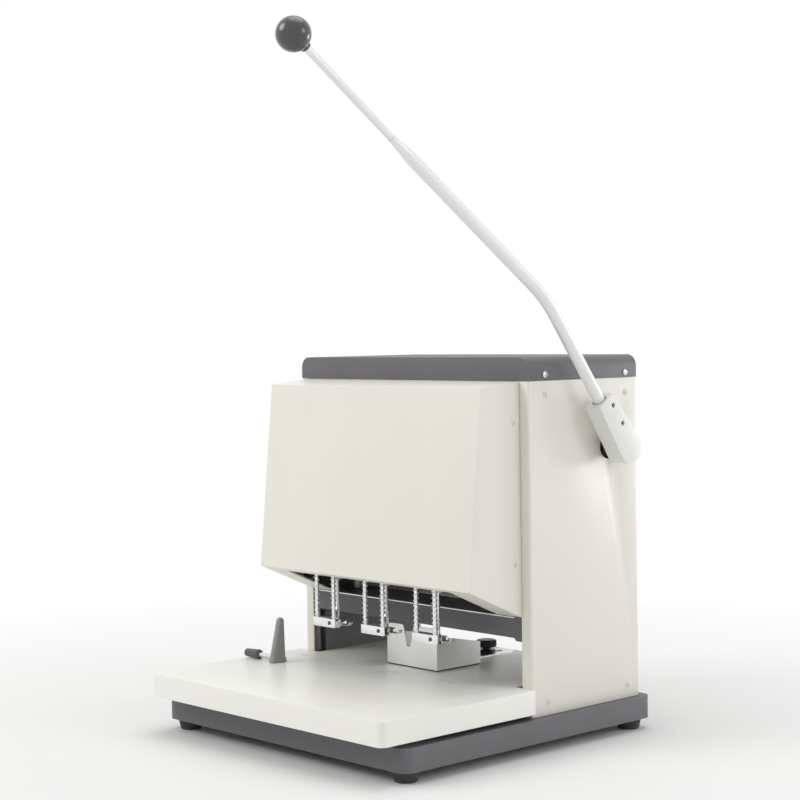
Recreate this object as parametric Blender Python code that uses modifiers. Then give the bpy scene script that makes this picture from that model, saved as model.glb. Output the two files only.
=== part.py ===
"""Electric three-spindle paper drill: tray, column, head, lever feed, spindle carriage and presser feet.

Metres, +Z up, +X to the machine's right, +Y to its back. Every size is named in the machine's own
frame, whose X is zero at the middle spindle and whose Z is zero at the desk. One empty carries all of
it, so that the origin of the scene lies under the middle of the whole machine.
"""

import math

import bmesh
import bpy
from mathutils import Matrix, Vector

# Layout shared by many pieces
FIT_GAP = 0.0003
OVERRUN = 0.002
SPINDLE_SPACING = 0.080
SPINDLE_Y = -0.034
SIDES = (-1, 1)
UNITS = {"left": -1, "centre": 0, "right": 1}

# Feet and base tray
FOOT_HEIGHT = 0.012
FOOT_TOP_RADIUS = 0.0135
FOOT_BASE_RADIUS = 0.0115
FOOT_CHAMFER = 0.0015
FOOT_INSET = 0.0185
FOOT_SCREW_RADIUS = 0.004
FOOT_SCREW_DEPTH = 0.005
TRAY_WIDTH = 0.384
TRAY_DEPTH = 0.366
TRAY_HEIGHT = 0.024
TRAY_CORNER = 0.0125
TRAY_WALL = 0.002
TRAY_RIM = 0.0045
TRAY_LIP = 0.038
TRAY_MOUTH_CORNER = 0.006
TRAY_OFFSET_X = -0.0044

# Table
TABLE_STEP_OUT = 0.03055
TABLE_OFFSET_X = -0.0025
TABLE_FRONT_Y = -0.209
TABLE_GAP = 0.0049
TABLE_SKIRT = 0.0248
TABLE_SHEET = 0.002
TABLE_EDGE = 0.0025
TABLE_CORNER = 0.008
TABLE_SLOT_LENGTH = 0.042
TABLE_SLOT_WIDTH = 0.0022
TABLE_SLOT_X = -0.136
TABLE_SLOT_Y = -0.024

# Cutting pads
PAD_RADIUS = 0.015
PAD_FLANGE_RADIUS = 0.0175
PAD_FLANGE = 0.003

# Column
COLUMN_WIDTH = 0.3574
COLUMN_FRONT_Y = 0.003
COLUMN_DEPTH = 0.1688
COLUMN_TOP = 0.3799
PANEL_SHEET = 0.002
PANEL_FRONT_FLANGE = 0.012
PANEL_REAR_FLANGE = 0.015
PANEL_BEND = 0.0025
PANEL_HOLE_RADIUS = 0.013
REAR_SHEET = 0.002
VENT_COUNT = 5
VENT_LENGTH = 0.052
VENT_HEIGHT = 0.004
VENT_PITCH = 0.011
VENT_X = 0.075
VENT_TOP_Z = 0.340
REAR_OPENING_SIDE = 0.014
CAP_HEIGHT = 0.0242
CAP_WALL = 0.0025
CAP_EDGE = 0.0015
CAP_ROUND = 0.012

# Head cover, drawn in its side view
HEAD_SIDE_GAP = 0.0004
HEAD_SHEET = 0.0015
HEAD_FRONT_BOTTOM = (-0.0727, 0.1715)
HEAD_FRONT_TOP = (-0.0522, 0.3750)
HEAD_REAR_TOP_Z = 0.3799
HEAD_REAR_BOTTOM_Z = 0.1384
HEAD_EDGE = 0.004
HEAD_UNDER_FLANGE = 0.036
HEAD_UNDER_LIP = 0.008

# Inner frame
FRAME_PLATE = 0.0085
FRAME_REAR_Y = 0.158
FRAME_TOP_Z = 0.3695
FRAME_EAR_Y = -0.012
FRAME_EAR_BOTTOM_Z = 0.152
FRAME_CORNER = 0.006
FRAME_SETBACK = 0.004
BEAM_THICKNESS = 0.006
BEAM_BOTTOM_Z = 0.116
BEAM_TOP_Z = 0.1378
BEAM_FOOT_WIDTH = 0.010
BEAM_FOOT_DROP = 0.003
SHELF_THICKNESS = 0.0058
SHELF_REAR_Y = 0.062
UPPER_BAR_HEIGHT = 0.008
UPPER_BAR_DEPTH = 0.0235
UPPER_BAR_BOTTOM_Z = 0.364
GUIDE_RADIUS = 0.010
GUIDE_INSET = 0.020
GUIDE_Y = 0.042

# Lever, drawn in the plane of its rod
SHAFT_RADIUS = 0.008
SHAFT_Y = 0.1250
SHAFT_Z = 0.3078
BUSH_RADIUS = 0.0105
BUSH_BORE_GAP = 0.00035
LEVER_STANDOFF = 0.0214
HUB_THICKNESS = 0.020
HUB_BOSS_RADIUS = 0.017
HUB_NECK_HALF = 0.0125
HUB_LENGTH = 0.063
HUB_EDGE = 0.002
HUB_BORE_DEPTH = 0.016
SOCKET_DEPTH = 0.033
LOWER_ANGLE = math.radians(53.0)
LOWER_LENGTH = 0.1951
UPPER_ANGLE = math.radians(35.53)
UPPER_LENGTH = 0.2551
TIP_ANGLE = math.radians(36.2)
TIP_LENGTH = 0.1422
BEND_RADIUS = 0.150
TUBE_RADIUS = 0.00635
TUBE_TAPER = 0.034
ROD_RADIUS = 0.0039
BALL_RADIUS = 0.0162
BALL_COLLAR_RADIUS = 0.0062
BALL_COLLAR = 0.004
BALL_BORE = 0.010

# Toothed drive from the lever to the carriage
FEED_MODULE = 0.002
SECTOR_TEETH = 38
SECTOR_THICKNESS = 0.012
SECTOR_HUB_RADIUS = 0.015
SECTOR_TEETH_ABOVE = 8
SECTOR_TEETH_BELOW = 2
RACK_THICKNESS = 0.016
RACK_BACK = 0.0088
TOOTH_TIP_SHARE = 0.85
TOOTH_ROOT_SHARE = 1.15
TOOTH_BACKLASH_SHARE = 0.16
PRESSURE_ANGLE = math.radians(20.0)

# Spindle carriage
CARRIAGE_SIDE_GAP = 0.008
CARRIAGE_FRONT_GAP = 0.0015
CARRIAGE_STEP = 0.006
FRONT_BEAM_FRONT_Y = -0.060
FRONT_BEAM_REAR_Y = -0.012
FRONT_BEAM_BOTTOM_Z = 0.170
FRONT_BEAM_HEIGHT = 0.022
BACK_PLATE_FRONT_Y = -0.022
BACK_PLATE_BOTTOM_Z = 0.186
BACK_PLATE_HEIGHT = 0.020
GUIDE_BOSS_RADIUS = 0.016
GUIDE_BOSS_TOP_Z = 0.245
TOWER_HALF = 0.014
TOWER_FRONT_Y = 0.0545
TOWER_TOP_Z = 0.3625
MOTOR_BLOCK_HALF = 0.040
MOTOR_BLOCK_FRONT_Y = 0.030
SHELF_PLATE = 0.006
MOTOR_SHELF_FRONT_Y = -0.036
CARRIAGE_EDGE = 0.003

# Motor and gear train
TRAIN_MODULE = 0.0025
SPINDLE_TEETH = 20
IDLER_TEETH = 12
PINION_TEETH = 10
GEAR_THICKNESS = 0.008
GEAR_BOTTOM_Z = 0.2115
MOTOR_SHELF_GAP = 0.003
MOTOR_RADIUS = 0.036
MOTOR_HEIGHT = 0.096
MOTOR_BELL_RADIUS = 0.030
MOTOR_BELL_HEIGHT = 0.014
MOTOR_CHAMFER = 0.002
PINION_SHAFT_RADIUS = 0.004
IDLER_JOURNAL_RADIUS = 0.004
IDLER_JOURNAL_DEPTH = 0.010
IDLER_HUB_RADIUS = 0.006
IDLER_HUB_HEIGHT = 0.001
SPINDLE_RADIUS = 0.007
SPINDLE_NOSE_RADIUS = 0.0058
SPINDLE_NOSE_Z = 0.160
SPINDLE_NOSE_CHAMFER = 0.0015
SPINDLE_TOP_HEIGHT = 0.002
BORE_GAP = 0.0004
BIT_RADIUS = 0.0026
BIT_SHANK_RADIUS = 0.0032
BIT_SHANK = 0.016
BIT_BORE_RADIUS = 0.0015
BIT_EDGE = 0.0006
BIT_BEVEL = 0.0012
BIT_SOCKET_DEPTH = 0.015

# Presser feet, in each unit's own places
PRESSER_BOTTOM_Z = 0.1097
PRESSER_BAR_FRONT_Y = -0.0551
PRESSER_BAR_DEPTH = 0.010
PRESSER_BAR_HEIGHT = 0.0095
PRESSER_BAR_HALF = 0.0185
PRESSER_BAR_CORNER = 0.002
PRESSER_PLATE = 0.004
PRESSER_PAD_RADIUS = 0.010
PRESSER_HOLE_RADIUS = 0.0034
PRESSER_SCREW_X = 0.0105
PRESSER_SCREW_RADIUS = 0.0018
PRESSER_SCREW_DEPTH = 0.0025
TONGUE_REACH = 0.0265
TONGUE_RISE = 0.0046
TONGUE_SHEET = 0.0012
TONGUE_WIDTH = 0.005
TONGUE_Y = -0.0405
LEFT_ROD_X = -0.0155
RIGHT_ROD_X = 0.0125
PRESSER_ROD_RADIUS = 0.002
PRESSER_ROD_SEAT = 0.006
BRIDGE_HEIGHT = 0.005
BRIDGE_HALF_DEPTH = 0.0034
BRIDGE_END = 0.0035
PRESSER_STROKE = 0.012
SPRING_TURNS = 13
SPRING_RADIUS = 0.00285
SPRING_WIRE_RADIUS = 0.00045
SPRING_LEAST_GAP = 0.0004

# Return spring, hidden behind the spindles
RETURN_SPRING_RADIUS = 0.007
RETURN_SPRING_WALL = 0.0015

# Back gauge
GAUGE_X = -0.002
GAUGE_HALF = 0.0395
GAUGE_FRONT_Y = 0.0049
GAUGE_SHEET = 0.002
GAUGE_HEIGHT = 0.0457
GAUGE_CORNER = 0.007
NOTCH_X = -0.005
NOTCH_TOP_HALF = 0.008
NOTCH_BOTTOM_HALF = 0.0035
NOTCH_DEPTH = 0.0235
GUSSET_FRONT_HEIGHT = 0.038
GUSSET_REAR_HEIGHT = 0.025
GUSSET_REAR_Y = 0.071
TAIL_X = 0.002
TAIL_HALF = 0.012
TAIL_REAR_Y = 0.150
TAIL_SLOT_HALF = 0.0036
TAIL_SLOT_FRONT_Y = 0.078
TAIL_SLOT_REAR_Y = 0.142
KNOB_Y = 0.1167
KNOB_STUD_RADIUS = 0.003
KNOB_WASHER_RADIUS = 0.0098
KNOB_WASHER = 0.004
KNOB_NECK_RADIUS = 0.0045
KNOB_NECK = 0.003
KNOB_RADIUS = 0.0108
KNOB_HEIGHT = 0.008
KNOB_CHAMFER = 0.0012

# Side guide
FIN_X = -0.138
FIN_THICKNESS = 0.010
FIN_FRONT_Y = -0.0835
FIN_REAR_Y = -0.0630
FIN_TOP_REAR_Y = -0.0650
FIN_TIP_RADIUS = 0.0040
FIN_HEIGHT = 0.0494
FIN_EDGE = 0.001
THUMB_Y = -0.0775
THUMB_RADIUS = 0.0056
THUMB_LENGTH = 0.021
THUMB_LEFT_X = -0.184
THUMB_CHAMFER = 0.001
THUMB_STUD_RADIUS = 0.0025
THUMB_STUD_SEAT = 0.005

# Power module on the rear cover
MODULE_INSET = 0.0687
MODULE_Z = 0.205
MODULE_WIDTH = 0.030
MODULE_HEIGHT = 0.062
MODULE_BODY = 0.022
MODULE_FLANGE = 0.003
MODULE_FLANGE_SHEET = 0.002
SOCKET_WIDTH = 0.024
SOCKET_HEIGHT = 0.0165
SOCKET_RECESS = 0.014
SOCKET_Z = -0.016
PIN_WIDTH = 0.002
PIN_HEIGHT = 0.004
PIN_SPACING = 0.007
PIN_LENGTH = 0.010
ROCKER_WIDTH = 0.014
ROCKER_HEIGHT = 0.022
ROCKER_Z = 0.014
ROCKER_DEPTH = 0.007
ROCKER_PROUD = 0.0018
ROCKER_GAP = 0.0016

# Places that follow from the sizes above
TRAY_TOP_Z = FOOT_HEIGHT + TRAY_HEIGHT
TABLE_SKIRT_Z = TRAY_TOP_Z + TABLE_GAP
TABLE_TOP_Z = TABLE_SKIRT_Z + TABLE_SKIRT
COLUMN_HALF = COLUMN_WIDTH / 2
COLUMN_REAR_Y = COLUMN_FRONT_Y + COLUMN_DEPTH
CAP_BOTTOM_Z = COLUMN_TOP + FIT_GAP
HEAD_HALF = COLUMN_HALF - PANEL_FRONT_FLANGE - HEAD_SIDE_GAP
FRAME_OUTER_X = HEAD_HALF - HEAD_SHEET - FIT_GAP
FRAME_INNER_X = FRAME_OUTER_X - FRAME_PLATE
BEAM_HALF = FRAME_OUTER_X - FIT_GAP
BEAM_FRONT_Y = COLUMN_FRONT_Y + FIT_GAP
BEAM_REAR_Y = BEAM_FRONT_Y + BEAM_THICKNESS
FRAME_FRONT_Y = BEAM_REAR_Y + FIT_GAP
CROSS_HALF = FRAME_INNER_X - FIT_GAP
TABLE_HALF = CROSS_HALF + TABLE_STEP_OUT
CARRIAGE_HALF = FRAME_INNER_X - CARRIAGE_SIDE_GAP
CARRIAGE_FRONT_HALF = HEAD_HALF - HEAD_UNDER_FLANGE - CARRIAGE_FRONT_GAP
CARRIAGE_STEP_Y = COLUMN_FRONT_Y + CARRIAGE_STEP
GUIDE_X = CARRIAGE_HALF - GUIDE_INSET
RETURN_SPRING_X = (MOTOR_BLOCK_HALF + GUIDE_X - GUIDE_BOSS_RADIUS) / 2
LEVER_X = COLUMN_HALF + LEVER_STANDOFF
MODULE_X = MODULE_INSET - COLUMN_HALF
TABLE_STEP_Y = COLUMN_FRONT_Y - FIT_GAP
TABLE_REAR_Y = FRAME_REAR_Y
HUB_INNER_X = LEVER_X - HUB_THICKNESS / 2
LOWER_WAY = Vector((0, -math.cos(LOWER_ANGLE), math.sin(LOWER_ANGLE)))
UPPER_WAY = Vector((0, -math.cos(UPPER_ANGLE), math.sin(UPPER_ANGLE)))
TIP_WAY = Vector((0, -math.cos(TIP_ANGLE), math.sin(TIP_ANGLE)))
SHAFT_POINT = Vector((LEVER_X, SHAFT_Y, SHAFT_Z))
BEND_POINT = SHAFT_POINT + LOWER_WAY * LOWER_LENGTH
TUBE_END = BEND_POINT + UPPER_WAY * UPPER_LENGTH
BALL_POINT = TUBE_END + TIP_WAY * TIP_LENGTH
SECTOR_RADIUS = FEED_MODULE * SECTOR_TEETH / 2
SPINDLE_GEAR_RADIUS = TRAIN_MODULE * SPINDLE_TEETH / 2
PINION_GEAR_RADIUS = TRAIN_MODULE * PINION_TEETH / 2
RACK_PITCH_Y = SHAFT_Y - SECTOR_RADIUS
RACK_BACK_Y = RACK_PITCH_Y - FEED_MODULE * TOOTH_ROOT_SHARE - RACK_BACK
TOWER_REAR_Y = RACK_BACK_Y - FIT_GAP
FRONT_BEAM_TOP_Z = FRONT_BEAM_BOTTOM_Z + FRONT_BEAM_HEIGHT
BACK_PLATE_TOP_Z = BACK_PLATE_BOTTOM_Z + BACK_PLATE_HEIGHT
MOTOR_SHELF_Z = GEAR_BOTTOM_Z + GEAR_THICKNESS + MOTOR_SHELF_GAP
MOTOR_Y = SPINDLE_Y + SPINDLE_GEAR_RADIUS + PINION_GEAR_RADIUS
MOTOR_BOTTOM_Z = MOTOR_SHELF_Z + SHELF_PLATE + FIT_GAP
PRESSER_TRAVEL = PRESSER_BOTTOM_Z - TABLE_TOP_Z - FIT_GAP
LEVER_SWING = PRESSER_TRAVEL / SECTOR_RADIUS
PRESSER_TOP_Z = PRESSER_BOTTOM_Z + PRESSER_BAR_HEIGHT
PRESSER_ROD_Y = PRESSER_BAR_FRONT_Y + PRESSER_BAR_DEPTH / 2
BIT_TIP_Z = PRESSER_BOTTOM_Z + FIT_GAP
GAUGE_BOTTOM_Z = TABLE_TOP_Z + FIT_GAP
THUMB_Z = GAUGE_BOTTOM_Z + THUMB_RADIUS

# The middle of the whole machine, from its outermost pieces
MIDDLE_X = (TRAY_OFFSET_X - TRAY_WIDTH / 2 + LEVER_X + BALL_RADIUS) / 2
MIDDLE_Y = (BALL_POINT.y - BALL_RADIUS + TRAY_DEPTH / 2) / 2

COLLECTION_NAME = "electric_hole_punch"

# Colour, metallic and roughness of each finish
FINISHES = {
    "cream": ((0.80, 0.78, 0.71), 0.0, 0.45),
    "table": ((0.84, 0.83, 0.79), 0.0, 0.25),
    "dark": ((0.115, 0.112, 0.125), 0.1, 0.5),
    "rubber": ((0.05, 0.05, 0.055), 0.0, 0.8),
    "chrome": ((0.78, 0.78, 0.79), 1.0, 0.15),
    "steel": ((0.62, 0.62, 0.62), 1.0, 0.3),
    "casting": ((0.45, 0.46, 0.47), 0.6, 0.5),
    "hub": ((0.80, 0.80, 0.79), 0.2, 0.35),
    "pad": ((0.78, 0.77, 0.72), 0.0, 0.4),
    "black": ((0.03, 0.03, 0.035), 0.0, 0.4),
    "ball": ((0.10, 0.10, 0.11), 0.0, 0.2),
    "guide": ((0.20, 0.20, 0.21), 0.0, 0.35),
}

# Plane of a flat outline: where its own X, Y and Z point
PLANES = {
    "X": Matrix(((0, 0, 1), (1, 0, 0), (0, 1, 0))),
    "Y": Matrix(((1, 0, 0), (0, 0, -1), (0, 1, 0))),
    "Z": Matrix.Identity(3),
}

pivots = {}
empties = {}


def clear_scene():
    for old in list(bpy.data.objects):
        bpy.data.objects.remove(old, do_unlink=True)


def new_collection(name):
    made = bpy.data.collections.new(name)
    bpy.context.scene.collection.children.link(made)
    return made


def add_axis(group, pivot, parent=None):
    """An empty at a group's joint, in the machine's own frame."""
    empty = bpy.data.objects.new(group + "_axis", None)
    machine.objects.link(empty)
    pivots[group] = Vector(pivot)
    empties[group] = empty
    if parent is None:
        empty.location = Vector((-MIDDLE_X, -MIDDLE_Y, 0))
    else:
        empty.parent = empties[parent]
        empty.location = pivots[group] - pivots[parent]


def place(mesh, name, group, collection):
    mesh.transform(Matrix.Translation(-pivots[group]))
    made = bpy.data.objects.new(name, mesh)
    collection.objects.link(made)
    made.parent = empties[group]
    return made


def finish(made, look):
    colour, metallic, roughness = FINISHES[look]
    material = bpy.data.materials.new(made.name + "_" + look)
    material.use_nodes = True
    shader = material.node_tree.nodes["Principled BSDF"]
    shader.inputs["Base Color"].default_value = (*colour, 1.0)
    shader.inputs["Metallic"].default_value = metallic
    shader.inputs["Roughness"].default_value = roughness
    made.data.materials.append(material)


def piece(mesh, name, group, look):
    made = place(mesh, name, group, machine)
    finish(made, look)
    return made


def tool(mesh, name, group):
    made = place(mesh, name, group, cutters)
    made.hide_render = True
    made.display_type = "WIRE"
    return made


def combine(made, mesh, operation="DIFFERENCE"):
    """Cuts a helper shape out of a piece, or joins it on."""
    group = next(key for key, empty in empties.items() if empty is made.parent)
    modifier = made.modifiers.new(operation.title(), "BOOLEAN")
    modifier.object = tool(mesh, made.name + "_tool", group)
    modifier.operation = operation
    modifier.solver = "EXACT"


def join_on(made, mesh):
    combine(made, mesh, "UNION")


def bevel(made, width, segments=2, angle=math.radians(40)):
    modifier = made.modifiers.new("Bevel", "BEVEL")
    modifier.width = width
    modifier.segments = segments
    modifier.limit_method = "ANGLE"
    modifier.angle_limit = angle


def welded(mesh):
    shape = bmesh.new()
    shape.from_mesh(mesh)
    bmesh.ops.remove_doubles(shape, verts=shape.verts, dist=FIT_GAP / 30)
    bmesh.ops.recalc_face_normals(shape, faces=shape.faces)
    shape.to_mesh(mesh)
    shape.free()
    return mesh


def bevelled(mesh, width):
    """A mesh with its edges rounded, for a shape whose later cuts stay sharp."""
    made = bpy.data.objects.new("bevelled", mesh)
    cutters.objects.link(made)
    bevel(made, width)
    return evaluated_mesh(made)


def evaluated_mesh(source):
    """The mesh that a curve or a modified object makes; the source is removed."""
    bpy.context.view_layer.update()
    graph = bpy.context.evaluated_depsgraph_get()
    mesh = bpy.data.meshes.new_from_object(source.evaluated_get(graph))
    mesh.materials.clear()
    bpy.data.objects.remove(source, do_unlink=True)
    return welded(mesh)


def block(low, high):
    low, high = Vector(low), Vector(high)
    shape = bmesh.new()
    bmesh.ops.create_cube(shape, size=1.0)
    bmesh.ops.scale(shape, vec=high - low, verts=shape.verts)
    bmesh.ops.translate(shape, vec=(low + high) / 2, verts=shape.verts)
    mesh = bpy.data.meshes.new("block")
    shape.to_mesh(mesh)
    shape.free()
    return mesh


def way_matrix(start, way):
    turn = Vector((0, 0, 1)).rotation_difference(Vector(way).normalized()).to_matrix().to_4x4()
    return Matrix.Translation(Vector(start)) @ turn


def cylinder(radius, start, end, sides=20):
    start, end = Vector(start), Vector(end)
    length = (end - start).length
    shape = bmesh.new()
    centred = way_matrix(start, end - start) @ Matrix.Translation((0, 0, length / 2))
    bmesh.ops.create_cone(
        shape, cap_ends=True, segments=sides, radius1=radius, radius2=radius, depth=length, matrix=centred
    )
    mesh = bpy.data.meshes.new("cylinder")
    shape.to_mesh(mesh)
    shape.free()
    return mesh


def slab(loops, plane, level, thickness):
    """A flat outline with holes, given thickness from a level along the plane's normal axis."""
    curve = bpy.data.curves.new("outline", "CURVE")
    curve.dimensions = "2D"
    curve.fill_mode = "BOTH"
    curve.extrude = thickness / 2
    for loop in loops:
        spline = curve.splines.new("POLY")
        spline.points.add(len(loop) - 1)
        spline.use_cyclic_u = True
        for point, (across, along) in zip(spline.points, loop):
            point.co = (across, along, 0, 1)
    made = bpy.data.objects.new("outline", curve)
    cutters.objects.link(made)
    mesh = evaluated_mesh(made)
    middle = level + thickness / 2
    normal = {"X": Vector((middle, 0, 0)), "Y": Vector((0, middle, 0)), "Z": Vector((0, 0, middle))}
    mesh.transform(Matrix.Translation(normal[plane]) @ PLANES[plane].to_4x4())
    return mesh


def turned(profile, start, way=(0, 0, 1), steps=20, closed=False):
    """A profile of (radius, height) turned about a line from start; its outer side runs top to bottom."""
    mesh = bpy.data.meshes.new("profile")
    points = [(radius, 0, height) for radius, height in profile]
    edges = [(i, i + 1) for i in range(len(points) - 1)]
    if closed:
        edges.append((len(points) - 1, 0))
    mesh.from_pydata(points, edges, [])
    made = bpy.data.objects.new("profile", mesh)
    cutters.objects.link(made)
    screw = made.modifiers.new("Screw", "SCREW")
    screw.steps = steps
    screw.render_steps = steps
    screw.use_merge_vertices = True
    screw.merge_threshold = FIT_GAP / 30
    result = evaluated_mesh(made)
    result.transform(way_matrix(start, way))
    return smooth(result)


def wire(points, radius, resolution, shares=None):
    """A round wire or tube along points; shares scale its radius point by point."""
    curve = bpy.data.curves.new("wire", "CURVE")
    curve.dimensions = "3D"
    curve.bevel_depth = radius
    curve.bevel_resolution = resolution
    curve.use_fill_caps = True
    spline = curve.splines.new("POLY")
    spline.points.add(len(points) - 1)
    for i, (point, spot) in enumerate(zip(spline.points, points)):
        point.co = (*spot, 1)
        point.radius = 1.0 if shares is None else shares[i]
    made = bpy.data.objects.new("wire", curve)
    cutters.objects.link(made)
    return smooth(evaluated_mesh(made))


def smooth(mesh):
    mesh.shade_smooth()
    mesh.set_sharp_from_angle(angle=math.radians(35))
    return mesh


def arc(centre, radius, first, last, count):
    """Points on an arc, angles in degrees."""
    angles = [math.radians(first + (last - first) * i / (count - 1)) for i in range(count)]
    return [(centre[0] + radius * math.cos(a), centre[1] + radius * math.sin(a)) for a in angles]


def circle(centre, radius, count=20):
    return arc(centre, radius, 0, 360 - 360 / count, count)


def rectangle(left, right, low, high):
    return [(left, low), (right, low), (right, high), (left, high)]


def rounded_rectangle(left, right, low, high, radius, count=4):
    corners = ((right, high, 0), (left, high, 90), (left, low, 180), (right, low, 270))
    points = []
    for x, y, first in corners:
        centre_x = x - math.copysign(radius, x - (left + right) / 2)
        centre_y = y - math.copysign(radius, y - (low + high) / 2)
        centre = (centre_x, centre_y)
        points += arc(centre, radius, first, first + 90, count)
    return points


def inset(points, distance):
    """A convex outline, drawn anticlockwise, moved inwards."""
    lines = []
    for i, first in enumerate(points):
        start, end = Vector(first), Vector(points[(i + 1) % len(points)])
        way = (end - start).normalized()
        lines.append((start + Vector((-way.y, way.x)) * distance, way))
    moved = []
    for i, (start, way) in enumerate(lines):
        before, before_way = lines[i - 1]
        turn = before_way.x * way.y - before_way.y * way.x
        offset = start - before
        moved.append(tuple(before + before_way * (offset.x * way.y - offset.y * way.x) / turn))
    return moved


def tooth_shape(teeth, module):
    """Radii and half angles of a straight-flanked tooth that leaves backlash at the pitch circle."""
    pitch_radius = module * teeth / 2
    half = math.pi / (2 * teeth) * (1 - TOOTH_BACKLASH_SHARE)
    tip = pitch_radius + module * TOOTH_TIP_SHARE
    root = pitch_radius - module * TOOTH_ROOT_SHARE
    tip_half = half - (tip - pitch_radius) * math.tan(PRESSURE_ANGLE) / pitch_radius
    root_half = half + (pitch_radius - root) * math.tan(PRESSURE_ANGLE) / pitch_radius
    return tip, root, tip_half, root_half


def gear_outline(centre, teeth, phase=0.0):
    """A spur gear's outline, with a tooth's middle at the phase angle."""
    tip, root, tip_half, root_half = tooth_shape(teeth, TRAIN_MODULE)
    points = []
    for i in range(teeth):
        middle = phase + 2 * math.pi * i / teeth
        for radius, turn in ((root, -root_half), (tip, -tip_half), (tip, tip_half), (root, root_half)):
            angle = middle + turn
            points.append((centre[0] + radius * math.cos(angle), centre[1] + radius * math.sin(angle)))
    return points


def make_tray():
    left, right = TRAY_OFFSET_X - TRAY_WIDTH / 2, TRAY_OFFSET_X + TRAY_WIDTH / 2
    front, rear = -TRAY_DEPTH / 2, TRAY_DEPTH / 2
    outline = rounded_rectangle(left, right, front, rear, TRAY_CORNER)
    solid = slab([outline], "Z", FOOT_HEIGHT - TRAY_RIM, TRAY_HEIGHT + TRAY_RIM)
    tray = piece(solid, "base_tray", "frame", "dark")
    bevel(tray, TRAY_RIM)
    wide = OVERRUN
    combine(tray, block(
        (left - wide, front - wide, FOOT_HEIGHT - TRAY_RIM - wide), (right + wide, rear + wide, FOOT_HEIGHT)
    ))
    wall = TRAY_WALL
    cavity = rounded_rectangle(left + wall, right - wall, front + wall, rear - wall, TRAY_CORNER - wall)
    combine(tray, bevelled(slab([cavity], "Z", FOOT_HEIGHT + wall, TRAY_HEIGHT - 2 * wall), TRAY_RIM - wall))
    lip = TRAY_LIP
    mouth = rounded_rectangle(left + lip, right - lip, front + lip, rear - lip, TRAY_MOUTH_CORNER)
    combine(tray, slab([mouth], "Z", FOOT_HEIGHT - OVERRUN, TRAY_HEIGHT / 2))


def make_feet():
    profile = (
        (0, FOOT_HEIGHT - FIT_GAP),
        (FOOT_TOP_RADIUS, FOOT_HEIGHT - FIT_GAP),
        (FOOT_BASE_RADIUS, FOOT_CHAMFER),
        (FOOT_BASE_RADIUS - FOOT_CHAMFER, 0),
        (FOOT_SCREW_RADIUS, 0),
        (FOOT_SCREW_RADIUS, FOOT_SCREW_DEPTH),
        (0, FOOT_SCREW_DEPTH),
    )
    for side, side_word in zip(SIDES, ("left", "right")):
        for end, end_word in zip(SIDES, ("front", "rear")):
            x = TRAY_OFFSET_X + side * (TRAY_WIDTH / 2 - FOOT_INSET)
            y = end * (TRAY_DEPTH / 2 - FOOT_INSET)
            foot = turned(profile, (x, y, 0), steps=12)
            piece(foot, "foot_" + end_word + "_" + side_word, "frame", "rubber")


def table_outline():
    """The table's T shape: full width in front of the column, narrow between the frame plates."""
    left, right = TABLE_OFFSET_X - TABLE_HALF, TABLE_OFFSET_X + TABLE_HALF
    corner = TABLE_CORNER
    return [
        *arc((left + corner, TABLE_FRONT_Y + corner), corner, 180, 270, 4),
        *arc((right - corner, TABLE_FRONT_Y + corner), corner, 270, 360, 4),
        (right, TABLE_STEP_Y),
        (CROSS_HALF, TABLE_STEP_Y),
        (CROSS_HALF, TABLE_REAR_Y),
        (-CROSS_HALF, TABLE_REAR_Y),
        (-CROSS_HALF, TABLE_STEP_Y),
        (left, TABLE_STEP_Y),
    ]


def make_table():
    outline = table_outline()
    table = piece(slab([outline], "Z", TABLE_SKIRT_Z, TABLE_SKIRT), "table", "frame", "table")
    bevel(table, TABLE_EDGE)
    inner = inset(outline, TABLE_SHEET)
    low, high = TABLE_SKIRT_Z - OVERRUN, TABLE_TOP_Z - TABLE_SHEET
    combine(table, slab([inner], "Z", low, high - low))
    for side in UNITS.values():
        x = side * SPINDLE_SPACING
        low, high = (x, SPINDLE_Y, TABLE_TOP_Z - TABLE_SHEET - OVERRUN), (x, SPINDLE_Y, TABLE_TOP_Z + OVERRUN)
        combine(table, cylinder(PAD_RADIUS + FIT_GAP, low, high))
    half_length, half_width = TABLE_SLOT_LENGTH / 2, TABLE_SLOT_WIDTH / 2
    combine(table, block(
        (TABLE_SLOT_X - half_length, TABLE_SLOT_Y - half_width, TABLE_TOP_Z - TABLE_SHEET - OVERRUN),
        (TABLE_SLOT_X + half_length, TABLE_SLOT_Y + half_width, TABLE_TOP_Z + OVERRUN),
    ))
    hole = KNOB_STUD_RADIUS + BORE_GAP
    low, high = TABLE_TOP_Z - TABLE_SHEET - OVERRUN, TABLE_TOP_Z + OVERRUN
    combine(table, cylinder(hole, (TAIL_X, KNOB_Y, low), (TAIL_X, KNOB_Y, high), sides=16))


def make_pads():
    under = -TABLE_SHEET - FIT_GAP
    profile = (
        (0, 0),
        (PAD_RADIUS, 0),
        (PAD_RADIUS, under),
        (PAD_FLANGE_RADIUS, under),
        (PAD_FLANGE_RADIUS, under - PAD_FLANGE),
        (0, under - PAD_FLANGE),
    )
    for word, side in UNITS.items():
        start = (side * SPINDLE_SPACING, SPINDLE_Y, TABLE_TOP_Z)
        piece(turned(profile, start), "cutting_pad_" + word, "frame", "pad")


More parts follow.
